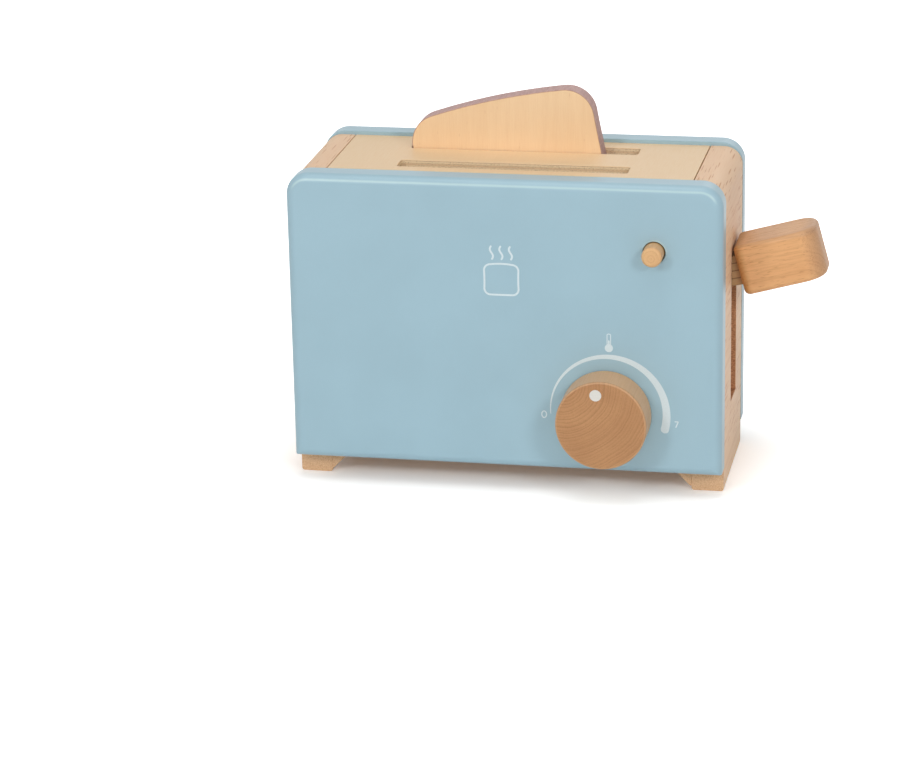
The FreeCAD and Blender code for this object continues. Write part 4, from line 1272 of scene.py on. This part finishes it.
low, high = measure("catch_spring")
start = np.array([BUTTON_X, low[1] + COIL_WIRE, PUSH_Z])
end = np.array([BUTTON_X, high[1] - COIL_WIRE, PUSH_Z])
push_coil = coil_shell(start, end, np.array([1.0, 0, 0]), 4, hooked=False)
push_spring = make("catch_spring_wire", push_coil, None, steel, "catch_spring", sharp=60)
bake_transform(push_spring)

# %% [markdown]
# ## The slice of toast
# The slice is sawn from pale board: straight below, a little waist at the
# sides, round shoulders and a low crown. Its broad faces are bare wood and its
# edge is painted brown, with a thin darker line where brush and bare wood meet.
# That border follows the outline, so every vertex carries its distance from the
# edge, and the faces are rings of that distance down to the middle.

# %% Slice shape
SLICE = (94.0, 97.08, 14.2, 1.5, 3.4)   # wide, tall, corner radius, waist and crown in mm
SLICE_EDGE = 0.4
FACE_RINGS = [12.0, 6.0, 3.0, 1.2]      # rings of points on each face, mm in from the edge
slice_low, slice_high = measure("toast_slice", level=True)


def arc(centre, radius, start, end, steps):
    """Points on a circle from the direction of one point to the direction of another, the
    short way round; the last point is left to the next run."""
    first = math.atan2(start[1] - centre[1], start[0] - centre[0])
    sweep = math.atan2(end[1] - centre[1], end[0] - centre[0]) - first
    sweep = (sweep + math.pi) % (2 * math.pi) - math.pi
    angle = first + sweep * np.linspace(0, 1, steps + 1)[:-1, None]
    return np.array(centre) + radius * np.concatenate([np.cos(angle), np.sin(angle)], axis=1)


def slice_outline(wide, tall, corner, waist, crown):
    """Half of it: a flat foot, a corner arc, a side that is hollow by the waist, a shoulder
    arc and half the crown; the other half is its mirror image. The crown and the side are
    circles through three points each: radius = (half the chord squared + the rise squared) /
    (2 rise). A corner's centre lies one corner radius inside both neighbours, so all touch."""
    half, side_top = wide / 2, tall - crown
    crown_r = (half ** 2 + crown ** 2) / (2 * crown)
    side_r = ((side_top / 2) ** 2 + waist ** 2) / (2 * waist)
    crown_c = np.array([0, tall - crown_r])
    side_c = np.array([half - waist + side_r, side_top / 2])
    low_x = side_c[0] - math.sqrt((side_r + corner) ** 2 - (side_c[1] - corner) ** 2)
    low_c = np.array([low_x, corner])
    gap = side_c - crown_c
    distance = np.linalg.norm(gap)
    along = ((crown_r - corner) ** 2 - (side_r + corner) ** 2 + distance ** 2) / (2 * distance)
    across = math.sqrt((crown_r - corner) ** 2 - along ** 2)
    high_c = crown_c + (along * gap + across * np.array([-gap[1], gap[0]])) / distance
    beyond = high_c + (high_c - crown_c)
    right_half = np.concatenate([np.linspace((0, 0), (low_x, 0), 8)[:-1],
                                 arc(low_c, corner, (low_x, -1), side_c, 14),
                                 arc(side_c, side_r, low_c, high_c, 16),
                                 arc(high_c, corner, side_c, beyond, 16),
                                 arc(crown_c, crown_r, high_c, (0, tall), 10), [[0, tall]]])
    points = np.concatenate([right_half, right_half[-2:0:-1] * [-1, 1]])
    tangent = np.roll(points, -1, axis=0) - np.roll(points, 1, axis=0)
    tangent /= np.linalg.norm(tangent, axis=1, keepdims=True)
    return points, np.stack([tangent[:, 1], -tangent[:, 0]], axis=1)


def slice_shell():
    """Rows from the middle of one face out to its edge, over the rounded edge, and back in."""
    points, outward = slice_outline(*SLICE)
    front, back = slice_low[1], slice_high[1]
    angle = np.linspace(0, math.pi / 2, 7)
    inward = np.concatenate([FACE_RINGS, SLICE_EDGE * (1 - np.sin(angle))])
    depth = np.concatenate([[front] * len(FACE_RINGS), front + SLICE_EDGE * (1 - np.cos(angle))])
    inward = np.concatenate([inward, inward[::-1]])
    depth = np.concatenate([depth, front + back - depth[::-1]])
    shape = points[None] - inward[:, None, None] * outward[None]
    x = shape[..., 0] + (slice_low[0] + slice_high[0]) / 2
    grid = lay(x, shape[..., 1] + slice_low[2], depth[:, None], "xz")
    from_edge = np.repeat(inward, len(points))
    shell_points, faces = closed_shell(grid)
    return (swing(shell_points, TILT), faces), from_edge


def toast_finish(name):
    """Bare wood on the faces; near the outline a thin brown line and then the painted crust."""
    mixer = Recipe(name)
    where = mixer.place(UP, ACROSS, (40, 0, 0))
    slow = mixer.noise(mixer.stretch(where, (0.05, 0.05, 0.012)), 1.0, 2.0)
    flow = mixer.scaled(slow, 14.0, mixer.parts(where)[0])
    within = mixer.calc("FRACT", mixer.calc("DIVIDE", flow, 7.5))
    band = mixer.times(mixer.fit(within, 0.1, 0.8), mixer.fit(within, 0.8, 1.0, 1.0, 0.0))
    thread = mixer.noise(mixer.stretch(where, (1.3, 1.3, 0.05)), 1.8, 4.0, 0.6)
    fibre = mixer.fit(thread, 0.3, 0.7)
    share = mixer.scaled(band, 0.07, mixer.times(fibre, 0.16), clamp=True)
    patch = mixer.noise(mixer.stretch(where, (0.05, 0.05, 0.02)), 1.0, 2.0)
    share = mixer.plus(share, mixer.fit(patch, 0.35, 0.7, 0.0, 0.14), clamp=True)
    bare = mixer.mix(share, colour(252, 219, 177), colour(230, 185, 135))
    fleck = mixer.flecks(mixer.stretch(where, (1.0, 1.0, 0.16)), 0.06, 0.2, 0.82, 0.95, 0.3)
    bare = mixer.mix(fleck, bare, colour(196, 142, 92))

    edge = mixer.add("Attribute", attribute_name="from_edge").outputs["Fac"]
    wobble = mixer.noise(mixer.stretch(where, (0.35, 0.35, 0.35)), 1.0, 3.0)
    edge = mixer.plus(edge, mixer.times(mixer.minus(wobble, 0.5), 0.25))
    stroke_marks = mixer.noise(mixer.stretch(where, (0.8, 0.12, 0.8)), 1.4, 4.0, 0.6)
    brush = mixer.fit(stroke_marks, 0.3, 0.7)
    crust = mixer.mix(brush, colour(182, 146, 140), colour(202, 166, 160))
    lined = mixer.mix(mixer.fit(edge, 0.32, 0.5), colour(196, 150, 118), bare)
    tone = mixer.mix(mixer.fit(edge, 0.12, 0.26), crust, lined)
    mixer.surface(tone, mixer.scaled(fibre, 0.12, 0.48), 0.3)
    mixer.relief(mixer.plus(fibre, brush), 0.02)
    return mixer.material


slice_shape, from_edge = slice_shell()
toast = new_object("toast", slice_shape)
distance = toast.data.attributes.new("from_edge", "FLOAT", "POINT")
distance.data.foreach_set("value", from_edge.astype(np.float32))
finish(toast, "bread", toast_finish("toast_wood"), ["toast_slice"])

# %% [markdown]
# ## Print on the front
# The scale round the knob is one swelling arc with a 0 at its thin end and a 7
# at its thick end, under a small thermometer. Each mark is a very thin slab that
# stands on the paint, because ink has thickness too. A line is its path with an
# edge on each side, half a width away; a width that shrinks like a circle near
# the ends rounds them off. Above the middle is a plain outline of a slice.

# %% Print helpers
INK = 0.03                          # half the slab's thickness


def stroke(path, half_width, face_y, closed=False):
    """Thin slab along a flat (x, z) path: two edges at half a width to each side, in front of
    and just inside the face."""
    if closed:
        along = np.roll(path, -1, axis=0) - np.roll(path, 1, axis=0)
    else:
        along = np.gradient(path, axis=0)
    along /= np.linalg.norm(along, axis=1, keepdims=True)
    side = np.stack([-along[:, 1], along[:, 0]], axis=1)
    half = np.broadcast_to(np.asarray(half_width, float), (len(path),))[:, None]
    edges = (path + side * half, 1, -1), (path - side * half, -1, 1)
    grid = np.array([lay(edge[:, 0], edge[:, 1], face_y + toward * INK, "xz")
                     for edge, *depths in edges for toward in depths])
    return ring_shell(grid) if closed else closed_shell(grid.transpose(1, 0, 2))


def round_ends(path, half_width, start=True):
    """Half width that falls off like a circle within one half width of each end."""
    half = np.broadcast_to(np.asarray(half_width, float), (len(path),)).copy()
    leg = np.linalg.norm(np.diff(path, axis=0), axis=1)
    run = np.concatenate([[0], np.cumsum(leg)])
    for gap in (run, run[-1] - run)[0 if start else 1:]:
        part = np.clip(1 - gap / half, 0, 1)
        half *= np.sqrt(np.clip(1 - part ** 2, 0.0004, 1))
    return half


def line_between(start, end, steps=24):
    """Straight path whose steps are close together near both ends, so rounded ends stay round."""
    share = (1 - np.cos(np.linspace(0, math.pi, steps))) / 2
    return np.array(start) + share[:, None] * (np.array(end) - np.array(start))


print("a test stroke has", len(stroke(line_between((0, 0), (9, 0)), 0.3, 0)[1]), "faces")

# %% Scale, numbers and thermometer
SCALE_X, SCALE_Z, SCALE_IN = 50.1, 42.5, 27.1       # the arc's middle and inner radius
TUBE_X, TUBE_R, TUBE_Z = 51.3, 0.85, (76.8, 81.6)   # the thermometer's tube
LINE = 0.3                                          # half width of the figures' lines
LOW_Y = FRONT_Y - 0.006             # for marks that lie over others

angle = np.radians(np.linspace(184.5, -18.5, 220))
outer = np.interp(-np.degrees(angle), [-184.5, -90, 18.5], [27.45, 29.3, 31.2])
centre_r = (outer + SCALE_IN) / 2
scale_path = np.stack([SCALE_X + centre_r * np.cos(angle),
                       SCALE_Z + centre_r * np.sin(angle)], axis=1)
scale_half = round_ends(scale_path, (outer - SCALE_IN) / 2)

# the figures: a 0 at the scale's start and a 7 at its end
turn_round = np.linspace(0, 2 * math.pi, 48, endpoint=False)
zero = np.stack([19.6 + 1.15 * np.cos(turn_round), 40.1 + 1.65 * np.sin(turn_round)], axis=1)
seven = line_between((82.9, 39.4), (84.9, 39.4)), line_between((84.75, 39.4), (83.5, 36.4))

# the thermometer: a tube open at its foot with a domed top, a filled bulb and its column
dome = np.radians(np.linspace(0, 180, 20))
right_side = np.stack([0 * dome + TUBE_X + TUBE_R, np.linspace(*TUBE_Z, 20)], axis=1)
dome_path = np.stack([TUBE_X + TUBE_R * np.cos(dome), TUBE_Z[1] + 0.6 * np.sin(dome)], axis=1)
left_side = right_side[::-1] * [-1, 1] + [2 * TUBE_X, 0]
tube = np.concatenate([right_side, dome_path, left_side])
column = line_between((TUBE_X, 76.9), (TUBE_X, 79.0))
bulb = lathe([(2.0, FRONT_Y + INK), (2.0, FRONT_Y - INK)], (TUBE_X, 0, 75.1), steps=40)

marks = [stroke(scale_path, scale_half, FRONT_Y), stroke(zero, LINE, FRONT_Y, closed=True)]
marks += [stroke(path, round_ends(path, LINE), FRONT_Y) for path in seven]
marks += [stroke(tube, 0.22, LOW_Y), bulb,
          stroke(column, round_ends(column, 0.4, start=False), LOW_Y)]
make("dial_scale_print", gather(marks), "housing", panel_print, None)

# %% Slice mark above the middle
MARK_LINE, MARK_X, MARK_Z = 0.47, -0.4, 99.6
WAVE, WAVE_TALL, WAVE_Z = 0.75, 7.0, 117.0

outline, _ = slice_outline(17.0, 15.5, 3.0, 0.3, 1.0)
mark = [stroke(outline + [MARK_X, MARK_Z], MARK_LINE, FRONT_Y, closed=True)]
z = np.linspace(0, WAVE_TALL, 60)
for x in (-5.0, MARK_X, 4.2):
    warmth = np.stack([x + WAVE * np.sin(z / WAVE_TALL * 2 * math.pi), WAVE_Z + z], axis=1)
    mark.append(stroke(warmth, round_ends(warmth, MARK_LINE), FRONT_Y))
make("slice_mark_print", gather(mark), "housing", panel_print, None)

# %% Dot on the knob
DOT_R, DOT_X, DOT_Z = 2.85, -2.35, 15.3     # its middle is counted from the knob's
dot_profile = [(DOT_R, KNOB_FRONT + 0.05), (DOT_R, KNOB_FRONT - 0.03), (2.7, KNOB_FRONT - 0.07)]
dot_shell = lathe(dot_profile, (KNOB_X + DOT_X, 0, KNOB_Z + DOT_Z), steps=48)
make("knob_dot", dot_shell, "dial", dot_paint, None)

# %% [markdown]
# ## Floor and light
# The toy stands on a plain white floor. Two compact lamps light it from both
# sides of the camera. A broader one hangs above, a weaker one stands behind the
# toy, and a pale sky that is brighter in front softens their shadows.
# The floor reflects like white paper and adds a little of its own light only
# for the eye, so that it reads as white and still keeps the toy's soft shadow.
# That share grows away from the toy's footprint, which paints the toy's shadow
# paler there and makes up for the lamps fading farther out. Beneath the toy it
# is small and slightly warm, a painted warm bounce from the wood. Shiny surfaces
# see about half of it, so that the toy's sides keep their colour at a flat angle.

# %% Floor
FLOOR_R = 4.0                       # m
PAPER = (0.9, 0.9, 0.9)
FOOTPRINT = (0.0805, 0.0235, 0.0)   # half the casing's footprint in m, drawn in by 25 mm
# warm first stops: painted warm bounce from the wood; the rising glow paints the toy's shadow
# paler
GLOW = ((0.0, (0.12, 0.09, 0.07)), (0.02, (0.3, 0.27, 0.25)), (0.0375, (0.5, 0.5, 0.49)),
        (0.06, (0.74, 0.74, 0.74)), (0.1, (0.88, 0.88, 0.88)), (0.25, (0.95, 0.95, 0.95)),
        (1.0, (1.0, 1.0, 1.0)))     # distance from the footprint in m, and the own light there
GLOW_IN_GLOSS = 0.55


def floor_finish():
    """White paper and its own light, by the distance from the footprint's rectangle."""
    mixer = Recipe("white_floor")
    mixer.tree.nodes.remove(mixer.shader)
    reach = mixer.add("TexCoord").outputs["Object"]
    for operation, amount in (("SUBTRACT", tuple(MIDDLE * MM)), ("ABSOLUTE", (0.0, 0.0, 0.0)),
                              ("SUBTRACT", FOOTPRINT), ("MAXIMUM", (0.0, 0.0, 0.0))):
        reach = mixer.add("VectorMath", {0: reach, 1: amount}, operation=operation).outputs[0]
    distance = mixer.add("VectorMath", {0: reach}, operation="LENGTH").outputs["Value"]
    ramp = mixer.add("ValToRGB", {"Fac": distance})
    stops = ramp.color_ramp.elements
    stops.remove(stops[1])
    stops[0].color = (*GLOW[0][1], 1)
    for position, tone in GLOW[1:]:
        stops.new(position).color = (*tone, 1)
    glow = mixer.add("Emission", {"Color": ramp.outputs[0], "Strength": mixer.seen(GLOW_IN_GLOSS)})
    paper = mixer.add("BsdfDiffuse", {"Color": PAPER})
    both = mixer.add("AddShader", {0: paper.outputs[0], 1: glow.outputs[0]})
    mixer.set(mixer.tree.nodes["Material Output"].inputs["Surface"], both.outputs[0])
    return mixer.material


angle = np.linspace(0, 2 * math.pi, 96, endpoint=False)
rim = FLOOR_R * np.stack([np.cos(angle), np.sin(angle), 0 * angle], axis=1)
floor_mesh = bpy.data.meshes.new("floor")
floor_mesh.from_pydata(rim.tolist(), [], [list(range(len(rim)))])
floor_mesh.materials.append(floor_finish())
floor = bpy.data.objects.new("floor", floor_mesh)
bpy.context.scene.collection.objects.link(floor)
print("floor", len(floor_mesh.vertices), "points")

# %% Lamps and sky
LAMPS = (("left_lamp", (-710, -1578, 932), 70, 0.4, 6.2),
         ("right_lamp", (1138, -1391, 935), 70, 0.4, 7.0),
         ("top_lamp", (0, -300, 1700), 70, 1.0, 7.0),
         ("back_lamp", (300, 1500, 1200), 100, 1.2, 3.6))
SKY_LOW, SKY_MORE = 0.22, 0.46      # all round, and what the front adds to it
WHITE = (1.0, 1.0, 1.0)


def lamp(name, spot_mm, aim_height, size, power):
    """Round lamp of a size in m and a power in W, turned to a height above the toy's middle."""
    data = bpy.data.lights.new(name, "AREA")
    data.shape = "DISK"
    data.size = size
    data.energy = power
    item = bpy.data.objects.new(name, data)
    bpy.context.scene.collection.objects.link(item)
    spot = (Vector(spot_mm) + Vector(MIDDLE.tolist())) * MM
    aim = (Vector((0, 0, aim_height)) + Vector(MIDDLE.tolist())) * MM
    turn = (spot - aim).to_track_quat("Z", "Y").to_matrix().to_4x4()
    item.matrix_world = Matrix.Translation(spot) @ turn


for settings in LAMPS:
    lamp(*settings)
world = bpy.data.worlds.new("sky")
world.use_nodes = True
bpy.context.scene.world = world
world.node_tree.nodes.clear()
sky = Nodes(world.node_tree)
backward = sky.parts(sky.add("TexCoord").outputs["Generated"])[1]
in_front = sky.calc("MULTIPLY", backward, -1.0, clamp=True)
light = sky.add("Background", {"Color": WHITE,
                               "Strength": sky.scaled(in_front, SKY_MORE, SKY_LOW)})
blank = sky.add("Background", {"Color": WHITE, "Strength": 1.0})
choice = sky.add("MixShader", {"Fac": sky.seen(), 1: light.outputs[0], 2: blank.outputs[0]})
sky.add("OutputWorld", {"Surface": choice.outputs[0]})
bpy.context.scene.view_settings.view_transform = "Standard"
print("lamps", [settings[0] for settings in LAMPS], "and sky", world.name)
